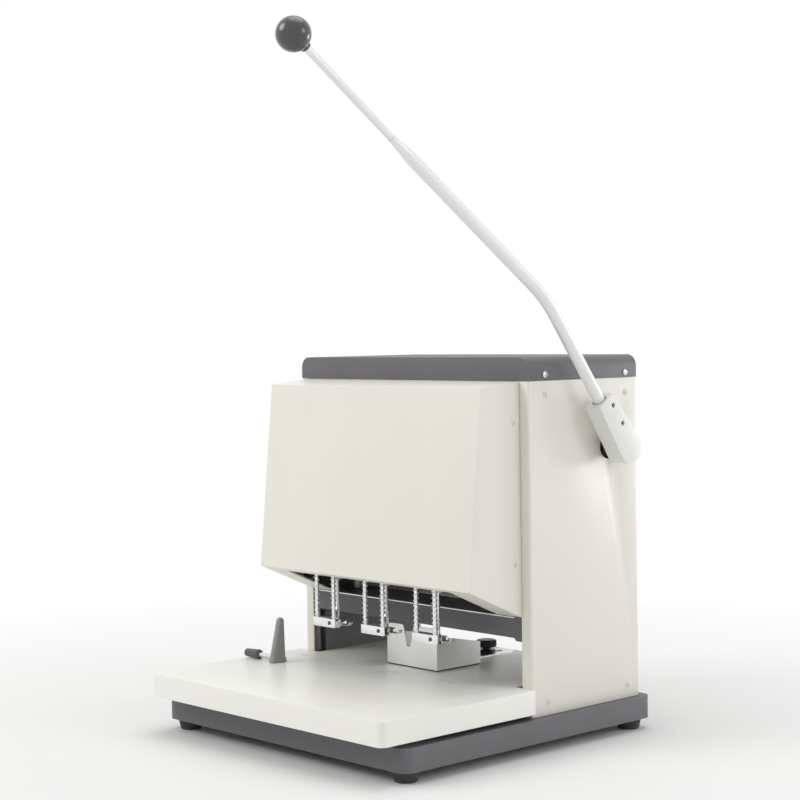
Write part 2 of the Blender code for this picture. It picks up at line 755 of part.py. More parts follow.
def make_side_panels():
    front, rear = COLUMN_FRONT_Y, COLUMN_REAR_Y
    sheet, bend = PANEL_SHEET, PANEL_BEND
    for side, word in zip(SIDES, ("left", "right")):
        outer = [
            (COLUMN_HALF - PANEL_FRONT_FLANGE, front),
            *arc((COLUMN_HALF - bend, front + bend), bend, 270, 360, 4),
            *arc((COLUMN_HALF - bend, rear - bend), bend, 0, 90, 4),
            (COLUMN_HALF - PANEL_REAR_FLANGE, rear),
            (COLUMN_HALF - PANEL_REAR_FLANGE, rear - sheet),
            (COLUMN_HALF - sheet, rear - sheet),
            (COLUMN_HALF - sheet, front + sheet),
            (COLUMN_HALF - PANEL_FRONT_FLANGE, front + sheet),
        ]
        outline = [(side * x, y) for x, y in outer]
        bottom = TRAY_TOP_Z + FIT_GAP
        folded = slab([outline], "Z", bottom, COLUMN_TOP - bottom)
        panel = piece(folded, "side_panel_" + word, "frame", "cream")
        if word == "right":
            start = (COLUMN_HALF - sheet - OVERRUN, SHAFT_Y, SHAFT_Z)
            end = (COLUMN_HALF + OVERRUN, SHAFT_Y, SHAFT_Z)
            combine(panel, cylinder(PANEL_HOLE_RADIUS, start, end))


def make_rear_cover():
    """The cover behind the column: vents at its top, and open level with the paper throat."""
    half = COLUMN_HALF - PANEL_SHEET - FIT_GAP
    low, high = TRAY_TOP_Z + FIT_GAP, COLUMN_TOP - FIT_GAP
    loops = [rectangle(-half, half, low, high)]
    for side in SIDES:
        for i in range(VENT_COUNT):
            z = VENT_TOP_Z - i * VENT_PITCH
            x = side * VENT_X
            loops.append(rectangle(x - VENT_LENGTH / 2, x + VENT_LENGTH / 2, z - VENT_HEIGHT, z))
    half_width, half_height = MODULE_WIDTH / 2 + FIT_GAP, MODULE_HEIGHT / 2 + FIT_GAP
    loops.append(rectangle(
        MODULE_X - half_width, MODULE_X + half_width, MODULE_Z - half_height, MODULE_Z + half_height
    ))
    opening = half - REAR_OPENING_SIDE
    loops.append(rectangle(-opening, opening, TABLE_TOP_Z - TABLE_SHEET, BEAM_BOTTOM_Z))
    face = COLUMN_REAR_Y - PANEL_SHEET - FIT_GAP
    piece(slab(loops, "Y", face - REAR_SHEET, REAR_SHEET), "rear_cover", "frame", "cream")


def cap_outline(half, low, high, radius):
    """The cap seen from the front: rounded over at its top left and right."""
    return [
        (-half, low),
        (half, low),
        *arc((half - radius, high - radius), radius, 0, 90, 5),
        *arc((radius - half, high - radius), radius, 90, 180, 5),
    ]


def make_top_cap():
    top = CAP_BOTTOM_Z + CAP_HEIGHT
    outline = cap_outline(COLUMN_HALF, CAP_BOTTOM_Z - 2 * CAP_EDGE, top, CAP_ROUND)
    cap = piece(slab([outline], "Y", COLUMN_FRONT_Y, COLUMN_DEPTH), "top_cap", "frame", "dark")
    bevel(cap, CAP_EDGE)
    low = (-COLUMN_HALF - OVERRUN, COLUMN_FRONT_Y - OVERRUN, CAP_BOTTOM_Z - 2 * CAP_EDGE - OVERRUN)
    high = (COLUMN_HALF + OVERRUN, COLUMN_REAR_Y + OVERRUN, CAP_BOTTOM_Z)
    combine(cap, block(low, high))
    wall = CAP_WALL
    inside = cap_outline(COLUMN_HALF - wall, CAP_BOTTOM_Z - OVERRUN, top - wall, CAP_ROUND - wall)
    combine(cap, slab([inside], "Y", COLUMN_FRONT_Y + wall, COLUMN_DEPTH - 2 * wall))


def make_head_cover():
    """A folded cover, open at its rear, with a wide opening in its underside for the spindles."""
    rear, past = COLUMN_FRONT_Y - FIT_GAP, COLUMN_FRONT_Y + 2 * HEAD_EDGE
    outline = [
        HEAD_FRONT_BOTTOM,
        (rear, HEAD_REAR_BOTTOM_Z),
        (past, HEAD_REAR_BOTTOM_Z),
        (past, HEAD_REAR_TOP_Z),
        (rear, HEAD_REAR_TOP_Z),
        HEAD_FRONT_TOP,
    ]
    solid = bevelled(slab([outline], "X", -HEAD_HALF, 2 * HEAD_HALF), HEAD_EDGE)
    head = piece(solid, "head_cover", "frame", "cream")
    wide = HEAD_HALF + OVERRUN
    combine(head, block((-wide, rear, HEAD_REAR_BOTTOM_Z - OVERRUN),
                        (wide, past + OVERRUN, HEAD_REAR_TOP_Z + OVERRUN)))
    inner = inset(outline, HEAD_SHEET)
    cavity = slab([inner], "X", HEAD_SHEET - HEAD_HALF, 2 * (HEAD_HALF - HEAD_SHEET))
    combine(head, bevelled(cavity, HEAD_EDGE - HEAD_SHEET))
    half = HEAD_HALF - HEAD_UNDER_FLANGE
    low = (-half, HEAD_FRONT_BOTTOM[0] + HEAD_UNDER_LIP, HEAD_REAR_BOTTOM_Z - OVERRUN)
    high = (half, rear + OVERRUN, HEAD_FRONT_BOTTOM[1] + HEAD_UNDER_LIP)
    combine(head, block(low, high))


def frame_outline(setback):
    """A frame plate from its side; below the crossbar its front edge stands back."""
    low, high = TRAY_TOP_Z + FIT_GAP, FRAME_TOP_Z
    corner = FRAME_CORNER
    return [
        (FRAME_FRONT_Y, BEAM_BOTTOM_Z),
        (FRAME_FRONT_Y + setback, BEAM_BOTTOM_Z),
        (FRAME_FRONT_Y + setback, low),
        (FRAME_REAR_Y, low),
        (FRAME_REAR_Y, high),
        *arc((FRAME_EAR_Y + corner, high - corner), corner, 90, 180, 4),
        *arc((FRAME_EAR_Y + corner, FRAME_EAR_BOTTOM_Z + corner), corner, 180, 270, 4),
        (FRAME_FRONT_Y, FRAME_EAR_BOTTOM_Z),
    ]


def make_frame_plates():
    left_hole = circle((SHAFT_Y, SHAFT_Z), SHAFT_RADIUS + BUSH_BORE_GAP)
    right_hole = circle((SHAFT_Y, SHAFT_Z), BUSH_RADIUS + BUSH_BORE_GAP)
    left = slab([frame_outline(FRAME_SETBACK), left_hole], "X", -FRAME_OUTER_X, FRAME_PLATE)
    right = slab([frame_outline(FRAME_SETBACK), right_hole], "X", FRAME_INNER_X, FRAME_PLATE)
    piece(left, "frame_plate_left", "frame", "dark")
    piece(right, "frame_plate_right", "frame", "dark")


def make_crossbars():
    foot, drop = BEAM_FOOT_WIDTH, BEAM_FOOT_DROP
    outline = [
        (-BEAM_HALF, BEAM_BOTTOM_Z - drop),
        (-BEAM_HALF + foot - drop, BEAM_BOTTOM_Z - drop),
        (-BEAM_HALF + foot, BEAM_BOTTOM_Z),
        (BEAM_HALF - foot, BEAM_BOTTOM_Z),
        (BEAM_HALF - foot + drop, BEAM_BOTTOM_Z - drop),
        (BEAM_HALF, BEAM_BOTTOM_Z - drop),
        (BEAM_HALF, BEAM_TOP_Z),
        (-BEAM_HALF, BEAM_TOP_Z),
    ]
    beam = piece(slab([outline], "Y", BEAM_FRONT_Y, BEAM_THICKNESS), "lower_crossbar", "frame", "dark")
    low = (-CROSS_HALF, BEAM_REAR_Y - BEAM_THICKNESS / 2, BEAM_TOP_Z - SHELF_THICKNESS)
    join_on(beam, block(low, (CROSS_HALF, SHELF_REAR_Y, BEAM_TOP_Z)))
    front = GUIDE_Y - UPPER_BAR_DEPTH / 2
    low = (-CROSS_HALF, front, UPPER_BAR_BOTTOM_Z)
    high = (CROSS_HALF, front + UPPER_BAR_DEPTH, UPPER_BAR_BOTTOM_Z + UPPER_BAR_HEIGHT)
    piece(block(low, high), "upper_crossbar", "frame", "dark")


def make_guide_columns():
    for side, word in zip(SIDES, ("left", "right")):
        start = (side * GUIDE_X, GUIDE_Y, BEAM_TOP_Z + FIT_GAP)
        end = (side * GUIDE_X, GUIDE_Y, UPPER_BAR_BOTTOM_Z - FIT_GAP)
        piece(smooth(cylinder(GUIDE_RADIUS, start, end)), "guide_column_" + word, "frame", "chrome")


def make_lever_bush():
    inner = SHAFT_RADIUS + BUSH_BORE_GAP
    length = HUB_INNER_X - FIT_GAP - FRAME_INNER_X
    profile = ((BUSH_RADIUS, length), (BUSH_RADIUS, 0), (inner, 0), (inner, length))
    start = (FRAME_INNER_X, SHAFT_Y, SHAFT_Z)
    piece(turned(profile, start, (1, 0, 0), 16, True), "lever_bush", "frame", "black")


def sector_outline():
    """The toothed sector: its teeth face the rack at rest and through the whole swing."""
    tip, root, tip_half, root_half = tooth_shape(SECTOR_TEETH, FEED_MODULE)
    pitch = 2 * math.pi / SECTOR_TEETH
    points = []
    for i in range(-SECTOR_TEETH_ABOVE, SECTOR_TEETH_BELOW + 1):
        middle = math.pi + i * pitch
        for radius, turn in ((root, -root_half), (tip, -tip_half), (tip, tip_half), (root, root_half)):
            angle = middle + turn
            points.append((SHAFT_Y + radius * math.cos(angle), SHAFT_Z + radius * math.sin(angle)))
    first = 180 + math.degrees(SECTOR_TEETH_BELOW * pitch + root_half)
    last = 360 + 180 - math.degrees(SECTOR_TEETH_ABOVE * pitch + root_half)
    return points + arc((SHAFT_Y, SHAFT_Z), SECTOR_HUB_RADIUS, first + 45, last - 45, 9)


def make_lever_shaft():
    start = (-FRAME_OUTER_X, SHAFT_Y, SHAFT_Z)
    end = (HUB_INNER_X + HUB_BORE_DEPTH - FIT_GAP, SHAFT_Y, SHAFT_Z)
    shaft = piece(smooth(cylinder(SHAFT_RADIUS, start, end, 16)), "lever_shaft", "lever", "steel")
    join_on(shaft, slab([sector_outline()], "X", -SECTOR_THICKNESS / 2, SECTOR_THICKNESS))


def make_lever_hub():
    """A tapered cast hub: a round boss on the shaft and a narrower end that holds the tube."""
    along = Vector((LOWER_WAY.y, LOWER_WAY.z))
    across = Vector((along.y, -along.x))
    centre = Vector((SHAFT_Y, SHAFT_Z))
    lean = math.asin((HUB_BOSS_RADIUS - HUB_NECK_HALF) / HUB_LENGTH)
    boss = []
    steps = 9
    for i in range(steps + 1):
        angle = -math.pi / 2 + lean + (math.pi - 2 * lean) * i / steps
        boss.append(centre + HUB_BOSS_RADIUS * (across * math.sin(angle) - along * math.cos(angle)))
    end = centre + along * HUB_LENGTH
    neck = [end + across * HUB_NECK_HALF, end - across * HUB_NECK_HALF]
    outline = [tuple(point) for point in boss + neck]
    hub = piece(slab([outline], "X", HUB_INNER_X, HUB_THICKNESS), "lever_hub", "lever", "hub")
    bevel(hub, HUB_EDGE)
    shaft_end = (HUB_INNER_X + HUB_BORE_DEPTH, SHAFT_Y, SHAFT_Z)
    combine(hub, cylinder(SHAFT_RADIUS + FIT_GAP, (HUB_INNER_X - OVERRUN, SHAFT_Y, SHAFT_Z), shaft_end))
    bottom = SHAFT_POINT + LOWER_WAY * (HUB_LENGTH - SOCKET_DEPTH)
    mouth = SHAFT_POINT + LOWER_WAY * (HUB_LENGTH + OVERRUN)
    combine(hub, cylinder(TUBE_RADIUS + FIT_GAP, bottom, mouth))


def tube_path():
    """Up from the hub's socket, round the bend and on to the tube's tapered end."""
    turn = LOWER_ANGLE - UPPER_ANGLE
    cut = BEND_RADIUS * math.tan(turn / 2)
    start = SHAFT_POINT + LOWER_WAY * (HUB_LENGTH - SOCKET_DEPTH + FIT_GAP)
    inward = Vector((0, LOWER_WAY.z, -LOWER_WAY.y)) * -BEND_RADIUS
    centre = BEND_POINT - LOWER_WAY * cut + inward
    bend = []
    for i in range(7):
        angle = LOWER_ANGLE - turn * i / 6
        outward = Vector((0, math.sin(angle), math.cos(angle)))
        bend.append(centre + outward * BEND_RADIUS)
    return [start, *bend, TUBE_END - UPPER_WAY * TUBE_TAPER, TUBE_END]


def make_lever_tube():
    points = tube_path()
    shares = [1.0] * (len(points) - 1) + [ROD_RADIUS / TUBE_RADIUS]
    piece(wire(points, TUBE_RADIUS, 4, shares), "lever_tube", "lever", "hub")


def make_lever_rod():
    start = TUBE_END + TIP_WAY * FIT_GAP
    end = BALL_POINT - TIP_WAY * (BALL_RADIUS - BALL_BORE + FIT_GAP)
    piece(smooth(cylinder(ROD_RADIUS * 0.96, start, end, 16)), "lever_rod", "lever", "chrome")


def make_ball_knob():
    """A ball with a short collar and a blind bore for the rod; its heights run from the collar's mouth."""
    bore = ROD_RADIUS + FIT_GAP
    centre = BALL_RADIUS + BALL_COLLAR / 2
    start_angle = math.asin(BALL_COLLAR_RADIUS / BALL_RADIUS)
    ball = []
    rings = 9
    for i in range(rings + 1):
        angle = (math.pi - start_angle) * i / rings
        ball.append((BALL_RADIUS * math.sin(angle), centre + BALL_RADIUS * math.cos(angle)))
    floor = BALL_BORE + BALL_COLLAR / 2
    profile = [*ball, (BALL_COLLAR_RADIUS, 0), (bore, 0), (bore, floor), (0, floor)]
    profile[0] = (0, profile[0][1])
    start = BALL_POINT - TIP_WAY * centre
    piece(turned(profile, start, TIP_WAY), "lever_knob", "lever", "ball")


def make_carriage():
    front = (-CARRIAGE_FRONT_HALF, FRONT_BEAM_FRONT_Y, FRONT_BEAM_BOTTOM_Z)
    beam = block(front, (CARRIAGE_FRONT_HALF, FRONT_BEAM_REAR_Y, FRONT_BEAM_TOP_Z))
    carriage = piece(beam, "spindle_carriage", "carriage", "casting")
    bevel(carriage, CARRIAGE_EDGE, 1)
    low = (-CARRIAGE_HALF, CARRIAGE_STEP_Y, BACK_PLATE_BOTTOM_Z)
    join_on(carriage, block(low, (CARRIAGE_HALF, TOWER_REAR_Y, BACK_PLATE_TOP_Z)))
    edge = CARRIAGE_EDGE
    neck = CARRIAGE_FRONT_HALF - edge
    join_on(carriage, block((-neck, BACK_PLATE_FRONT_Y, BACK_PLATE_BOTTOM_Z + edge),
                            (neck, CARRIAGE_STEP_Y + OVERRUN, BACK_PLATE_TOP_Z - edge)))
    for side in SIDES:
        x = side * GUIDE_X
        join_on(carriage, cylinder(GUIDE_BOSS_RADIUS, (x, GUIDE_Y, BACK_PLATE_TOP_Z - OVERRUN),
                                   (x, GUIDE_Y, GUIDE_BOSS_TOP_Z), 16))
    join_on(carriage, block((-TOWER_HALF, TOWER_FRONT_Y, BACK_PLATE_TOP_Z - OVERRUN),
                            (TOWER_HALF, TOWER_REAR_Y, TOWER_TOP_Z)))
    join_on(carriage, block((-MOTOR_BLOCK_HALF, MOTOR_BLOCK_FRONT_Y, BACK_PLATE_TOP_Z - OVERRUN),
                            (MOTOR_BLOCK_HALF, TOWER_REAR_Y - OVERRUN, MOTOR_SHELF_Z + OVERRUN)))
    join_on(carriage, block((-MOTOR_BLOCK_HALF, MOTOR_SHELF_FRONT_Y, MOTOR_SHELF_Z),
                            (MOTOR_BLOCK_HALF, TOWER_REAR_Y - OVERRUN, MOTOR_SHELF_Z + SHELF_PLATE)))
    for side in SIDES:
        x = side * GUIDE_X
        bore = GUIDE_RADIUS + BORE_GAP
        combine(carriage, cylinder(bore, (x, GUIDE_Y, BACK_PLATE_BOTTOM_Z - OVERRUN),
                                   (x, GUIDE_Y, GUIDE_BOSS_TOP_Z + OVERRUN), 16))
        x = side * SPINDLE_SPACING / 2
        combine(carriage, cylinder(IDLER_JOURNAL_RADIUS + BORE_GAP,
                                   (x, SPINDLE_Y, FRONT_BEAM_TOP_Z - IDLER_JOURNAL_DEPTH - FIT_GAP),
                                   (x, SPINDLE_Y, FRONT_BEAM_TOP_Z + OVERRUN), 12))
    for side in UNITS.values():
        x = side * SPINDLE_SPACING
        low, high = FRONT_BEAM_BOTTOM_Z - OVERRUN, FRONT_BEAM_TOP_Z + OVERRUN
        combine(carriage, cylinder(SPINDLE_RADIUS + BORE_GAP, (x, SPINDLE_Y, low), (x, SPINDLE_Y, high), 16))
        for rod_x in (LEFT_ROD_X, RIGHT_ROD_X):
            start, end = (x + rod_x, PRESSER_ROD_Y, low), (x + rod_x, PRESSER_ROD_Y, high)
            combine(carriage, cylinder(PRESSER_ROD_RADIUS + BORE_GAP, start, end, 8))
    low, high = MOTOR_SHELF_Z - OVERRUN, MOTOR_SHELF_Z + SHELF_PLATE + OVERRUN
    hole = PINION_SHAFT_RADIUS + OVERRUN
    combine(carriage, cylinder(hole, (0, MOTOR_Y, low), (0, MOTOR_Y, high), 16))


def make_rack():
    """The rack stands in front of the sector; a tooth gap lies level with the shaft at rest."""
    pitch = math.pi * FEED_MODULE
    half = pitch / 4 * (1 - TOOTH_BACKLASH_SHARE)
    tip_y = RACK_PITCH_Y + FEED_MODULE * TOOTH_TIP_SHARE
    root_y = RACK_PITCH_Y - FEED_MODULE * TOOTH_ROOT_SHARE
    tip_half = half - FEED_MODULE * TOOTH_TIP_SHARE * math.tan(PRESSURE_ANGLE)
    root_half = half + FEED_MODULE * TOOTH_ROOT_SHARE * math.tan(PRESSURE_ANGLE)
    above = math.floor((TOWER_TOP_Z - SHAFT_Z) / pitch - 1 / 2)
    below = SECTOR_TEETH_BELOW
    points = []
    for i in range(-below, above):
        middle = SHAFT_Z + (i + 1 / 2) * pitch
        points += [
            (root_y, middle - root_half),
            (tip_y, middle - tip_half),
            (tip_y, middle + tip_half),
            (root_y, middle + root_half),
        ]
    low = SHAFT_Z - (below + 1 / 2) * pitch
    outline = [(RACK_BACK_Y, low), (root_y, low), *points, (root_y, TOWER_TOP_Z), (RACK_BACK_Y, TOWER_TOP_Z)]
    piece(slab([outline], "X", -RACK_THICKNESS / 2, RACK_THICKNESS), "feed_rack", "carriage", "steel")


def make_motor():
    top = MOTOR_HEIGHT
    shoulder = top - MOTOR_BELL_HEIGHT
    profile = (
        (0, top),
        (MOTOR_BELL_RADIUS - MOTOR_CHAMFER, top),
        (MOTOR_BELL_RADIUS, top - MOTOR_CHAMFER),
        (MOTOR_BELL_RADIUS, shoulder),
        (MOTOR_RADIUS, shoulder),
        (MOTOR_RADIUS, MOTOR_CHAMFER),
        (MOTOR_RADIUS - MOTOR_CHAMFER, 0),
        (0, 0),
    )
    piece(turned(profile, (0, MOTOR_Y, MOTOR_BOTTOM_Z), steps=16), "drive_motor", "carriage", "black")


def make_return_spring():
    bottom, top = BACK_PLATE_TOP_Z + FIT_GAP, UPPER_BAR_BOTTOM_Z - FIT_GAP
    inner = RETURN_SPRING_RADIUS - RETURN_SPRING_WALL
    length = top - bottom
    profile = ((RETURN_SPRING_RADIUS, length), (RETURN_SPRING_RADIUS, 0), (inner, 0), (inner, length))
    start = (RETURN_SPRING_X, GUIDE_Y, bottom)
    piece(turned(profile, start, steps=16, closed=True), "return_spring", "carriage", "steel")


def make_gear_train():
    top = GEAR_BOTTOM_Z + GEAR_THICKNESS
    for side, word in zip(SIDES, ("left", "right")):
        centre = (side * SPINDLE_SPACING / 2, SPINDLE_Y)
        low = FRONT_BEAM_TOP_Z - IDLER_JOURNAL_DEPTH
        profile = (
            (0, top + IDLER_HUB_HEIGHT - low),
            (IDLER_HUB_RADIUS, top + IDLER_HUB_HEIGHT - low),
            (IDLER_HUB_RADIUS, FRONT_BEAM_TOP_Z + FIT_GAP - low),
            (IDLER_JOURNAL_RADIUS, FRONT_BEAM_TOP_Z + FIT_GAP - low),
            (IDLER_JOURNAL_RADIUS, 0),
            (0, 0),
        )
        body = turned(profile, (*centre, low), steps=12)
        idler = piece(body, "idler_gear_" + word, "idler_" + word, "steel")
        outline = gear_outline(centre, IDLER_TEETH, math.pi / IDLER_TEETH)
        join_on(idler, slab([outline], "Z", GEAR_BOTTOM_Z, GEAR_THICKNESS))
    low, high = (0, MOTOR_Y, GEAR_BOTTOM_Z), (0, MOTOR_Y, MOTOR_BOTTOM_Z - FIT_GAP)
    shaft = smooth(cylinder(PINION_SHAFT_RADIUS, low, high, 16))
    pinion = piece(shaft, "motor_pinion", "motor_pinion", "steel")
    outline = gear_outline((0, MOTOR_Y), PINION_TEETH, math.pi / PINION_TEETH - math.pi / 2)
    join_on(pinion, slab([outline], "Z", GEAR_BOTTOM_Z, GEAR_THICKNESS))


def make_spindles():
    socket = BIT_SHANK_RADIUS + FIT_GAP
    top = GEAR_BOTTOM_Z + GEAR_THICKNESS + SPINDLE_TOP_HEIGHT - SPINDLE_NOSE_Z
    shoulder = FRONT_BEAM_BOTTOM_Z - FIT_GAP - SPINDLE_NOSE_Z
    profile = (
        (0, top),
        (SPINDLE_RADIUS, top),
        (SPINDLE_RADIUS, shoulder),
        (SPINDLE_NOSE_RADIUS + SPINDLE_NOSE_CHAMFER, shoulder),
        (SPINDLE_NOSE_RADIUS + SPINDLE_NOSE_CHAMFER, shoulder / 2),
        (SPINDLE_NOSE_RADIUS, 0),
        (socket, 0),
        (socket, BIT_SOCKET_DEPTH),
        (0, BIT_SOCKET_DEPTH),
    )
    for word, side in UNITS.items():
        centre = (side * SPINDLE_SPACING, SPINDLE_Y)
        group = "spindle_" + word
        mesh = turned(profile, (*centre, SPINDLE_NOSE_Z), steps=12)
        spindle = piece(mesh, "geared_" + group, group, "steel")
        outline = gear_outline(centre, SPINDLE_TEETH)
        join_on(spindle, slab([outline], "Z", GEAR_BOTTOM_Z, GEAR_THICKNESS))


def make_drill_bits():
    top = SPINDLE_NOSE_Z + BIT_SOCKET_DEPTH - FIT_GAP - BIT_TIP_Z
    profile = (
        (BIT_SHANK_RADIUS, top),
        (BIT_SHANK_RADIUS, top - BIT_SHANK),
        (BIT_RADIUS, top - BIT_SHANK - BIT_BEVEL),
        (BIT_RADIUS, BIT_BEVEL),
        (BIT_RADIUS - BIT_EDGE, 0),
        (BIT_BORE_RADIUS, BIT_BEVEL),
        (BIT_BORE_RADIUS, top),
    )
    for word, side in UNITS.items():
        start = (side * SPINDLE_SPACING, SPINDLE_Y, BIT_TIP_Z)
        piece(turned(profile, start, steps=12, closed=True), "drill_bit_" + word, "spindle_" + word, "chrome")


def tongue_outline(x):
    """The curled lip at a presser foot's right, seen from the front: out, then up in a quarter curl."""
    low = PRESSER_BOTTOM_Z + PRESSER_PLATE / 4
    flat_end = x + TONGUE_REACH - TONGUE_RISE
    centre = (flat_end, low + TONGUE_RISE + TONGUE_SHEET)
    outer = arc(centre, TONGUE_RISE + TONGUE_SHEET, 270, 340, 5)
    inner = arc(centre, TONGUE_RISE, 340, 270, 5)
    start = x + PRESSER_PAD_RADIUS / 2
    return [(start, low), *outer, *inner, (start, low + TONGUE_SHEET)]


def make_presser_feet():
    rear = PRESSER_BAR_FRONT_Y + PRESSER_BAR_DEPTH
    for word, side in UNITS.items():
        x = side * SPINDLE_SPACING
        left, right = x - PRESSER_BAR_HALF, x + PRESSER_BAR_HALF
        bar = rounded_rectangle(left, right, PRESSER_BAR_FRONT_Y, rear, PRESSER_BAR_CORNER, 3)
        foot = piece(slab([bar], "Z", PRESSER_BOTTOM_Z, PRESSER_BAR_HEIGHT),
                     "presser_foot_" + word, "presser_" + word, "chrome")
        pad = [
            (x - PRESSER_PAD_RADIUS, rear - PRESSER_BAR_CORNER),
            (x + PRESSER_PAD_RADIUS, rear - PRESSER_BAR_CORNER),
            *arc((x, SPINDLE_Y), PRESSER_PAD_RADIUS, 0, 180, 9),
        ]
        join_on(foot, slab([pad], "Z", PRESSER_BOTTOM_Z, PRESSER_PLATE))
        join_on(foot, slab([tongue_outline(x)], "Y", TONGUE_Y, TONGUE_WIDTH))
        low = PRESSER_BOTTOM_Z - OVERRUN
        combine(foot, cylinder(PRESSER_HOLE_RADIUS, (x, SPINDLE_Y, low), (x, SPINDLE_Y, PRESSER_TOP_Z), 12))
        for rod_x in (LEFT_ROD_X, RIGHT_ROD_X):
            start = (x + rod_x, PRESSER_ROD_Y, PRESSER_TOP_Z - PRESSER_ROD_SEAT - FIT_GAP)
            end = (x + rod_x, PRESSER_ROD_Y, PRESSER_TOP_Z + OVERRUN)
            combine(foot, cylinder(PRESSER_ROD_RADIUS + FIT_GAP, start, end, 8))
        level = PRESSER_BOTTOM_Z + PRESSER_BAR_HEIGHT / 2
        start = (x + PRESSER_SCREW_X, PRESSER_BAR_FRONT_Y - OVERRUN, level)
        end = (x + PRESSER_SCREW_X, PRESSER_BAR_FRONT_Y + PRESSER_SCREW_DEPTH, level)
        combine(foot, cylinder(PRESSER_SCREW_RADIUS, start, end, 8))


def make_stirrups():
    """Two guide rods and the bridge that joins them above the carriage and stops the foot's fall."""
    low, bridge_low = PRESSER_TOP_Z - PRESSER_ROD_SEAT, FRONT_BEAM_TOP_Z + FIT_GAP
    for word, side in UNITS.items():
        x = side * SPINDLE_SPACING
        front = (x + LEFT_ROD_X - BRIDGE_END, PRESSER_ROD_Y - BRIDGE_HALF_DEPTH, bridge_low)
        back = (x + RIGHT_ROD_X + BRIDGE_END, PRESSER_ROD_Y + BRIDGE_HALF_DEPTH, bridge_low + BRIDGE_HEIGHT)
        stirrup = piece(block(front, back), "guide_stirrup_" + word, "presser_" + word, "chrome")
        for rod_x in (LEFT_ROD_X, RIGHT_ROD_X):
            start = (x + rod_x, PRESSER_ROD_Y, low)
            end = (x + rod_x, PRESSER_ROD_Y, bridge_low + BRIDGE_HEIGHT / 2)
            join_on(stirrup, smooth(cylinder(PRESSER_ROD_RADIUS, start, end, 10)))


def spring_points(length):
    """A coil about the Z axis whose two ends run straight up for one wire diameter."""
    points_per_turn = 8
    straight = 2 * SPRING_WIRE_RADIUS
    points = [Vector((SPRING_RADIUS, 0, 0))]
    count = SPRING_TURNS * points_per_turn
    for i in range(count + 1):
        angle = 2 * math.pi * i / points_per_turn
        z = straight + (length - 2 * straight) * i / count
        points.append(Vector((SPRING_RADIUS * math.cos(angle), SPRING_RADIUS * math.sin(angle), z)))
    points.append(Vector((SPRING_RADIUS, 0, length)))
    return points, points_per_turn


def least_self_gap(points, neighbours):
    """The least clear distance between stretches of a wire that aren't next to each other."""
    least = math.inf
    for i in range(len(points)):
        for j in range(i + neighbours, len(points)):
            least = min(least, (points[i] - points[j]).length)
    return least - 2 * SPRING_WIRE_RADIUS


def make_presser_springs():
    bottom, top = PRESSER_TOP_Z + FIT_GAP, FRONT_BEAM_BOTTOM_Z - FIT_GAP
    points, per_turn = spring_points(top - bottom)
    gap = least_self_gap(points, per_turn // 2)
    print("least gap of a presser spring to itself, mm:", round(gap * 1000, 3))
    if gap < SPRING_LEAST_GAP:
        raise ValueError("a presser spring's turns touch")
    for word, side in UNITS.items():
        for rod_x, end_word in ((LEFT_ROD_X, "left"), (RIGHT_ROD_X, "right")):
            foot = Vector((side * SPINDLE_SPACING + rod_x, PRESSER_ROD_Y, bottom))
            mesh = wire([foot + point for point in points], SPRING_WIRE_RADIUS, 1)
            piece(mesh, "presser_spring_" + word + "_" + end_word, "presser_" + word, "chrome")


def make_back_gauge():
    left, right = GAUGE_X - GAUGE_HALF, GAUGE_X + GAUGE_HALF
    low, high = GAUGE_BOTTOM_Z, GAUGE_BOTTOM_Z + GAUGE_HEIGHT
    notch = GAUGE_X + NOTCH_X
    corner = GAUGE_CORNER
    floor = high - NOTCH_DEPTH
    face = [
        (left, low),
        (right, low),
        *arc((right - corner, high - corner), corner, 0, 90, 4),
        (notch + NOTCH_TOP_HALF, high),
        (notch + NOTCH_BOTTOM_HALF, floor + NOTCH_BOTTOM_HALF),
        *arc((notch, floor + NOTCH_BOTTOM_HALF), NOTCH_BOTTOM_HALF, -30, -150, 4),
        (notch - NOTCH_BOTTOM_HALF, floor + NOTCH_BOTTOM_HALF),
        (notch - NOTCH_TOP_HALF, high),
        *arc((left + corner, high - corner), corner, 90, 180, 4),
    ]
    gauge = piece(slab([face], "Y", GAUGE_FRONT_Y, GAUGE_SHEET), "back_gauge", "gauge", "steel")
    inside_y = GAUGE_FRONT_Y + GAUGE_SHEET / 2
    gusset = [
        (inside_y, low),
        (GUSSET_REAR_Y, low),
        (GUSSET_REAR_Y, low + GUSSET_REAR_HEIGHT),
        (inside_y, low + GUSSET_FRONT_HEIGHT),
    ]
    join_on(gauge, slab([gusset], "X", left, GAUGE_SHEET))
    join_on(gauge, slab([gusset], "X", right - GAUGE_SHEET, GAUGE_SHEET))
    sole = [
        (left, inside_y),
        (right, inside_y),
        (right, GUSSET_REAR_Y),
        (TAIL_X + TAIL_HALF, GUSSET_REAR_Y),
        (TAIL_X + TAIL_HALF, TAIL_REAR_Y),
        (TAIL_X - TAIL_HALF, TAIL_REAR_Y),
        (TAIL_X - TAIL_HALF, GUSSET_REAR_Y),
        (left, GUSSET_REAR_Y),
    ]
    slot = rectangle(TAIL_X - TAIL_SLOT_HALF, TAIL_X + TAIL_SLOT_HALF, TAIL_SLOT_FRONT_Y, TAIL_SLOT_REAR_Y)
    join_on(gauge, slab([sole, slot], "Z", low, GAUGE_SHEET))


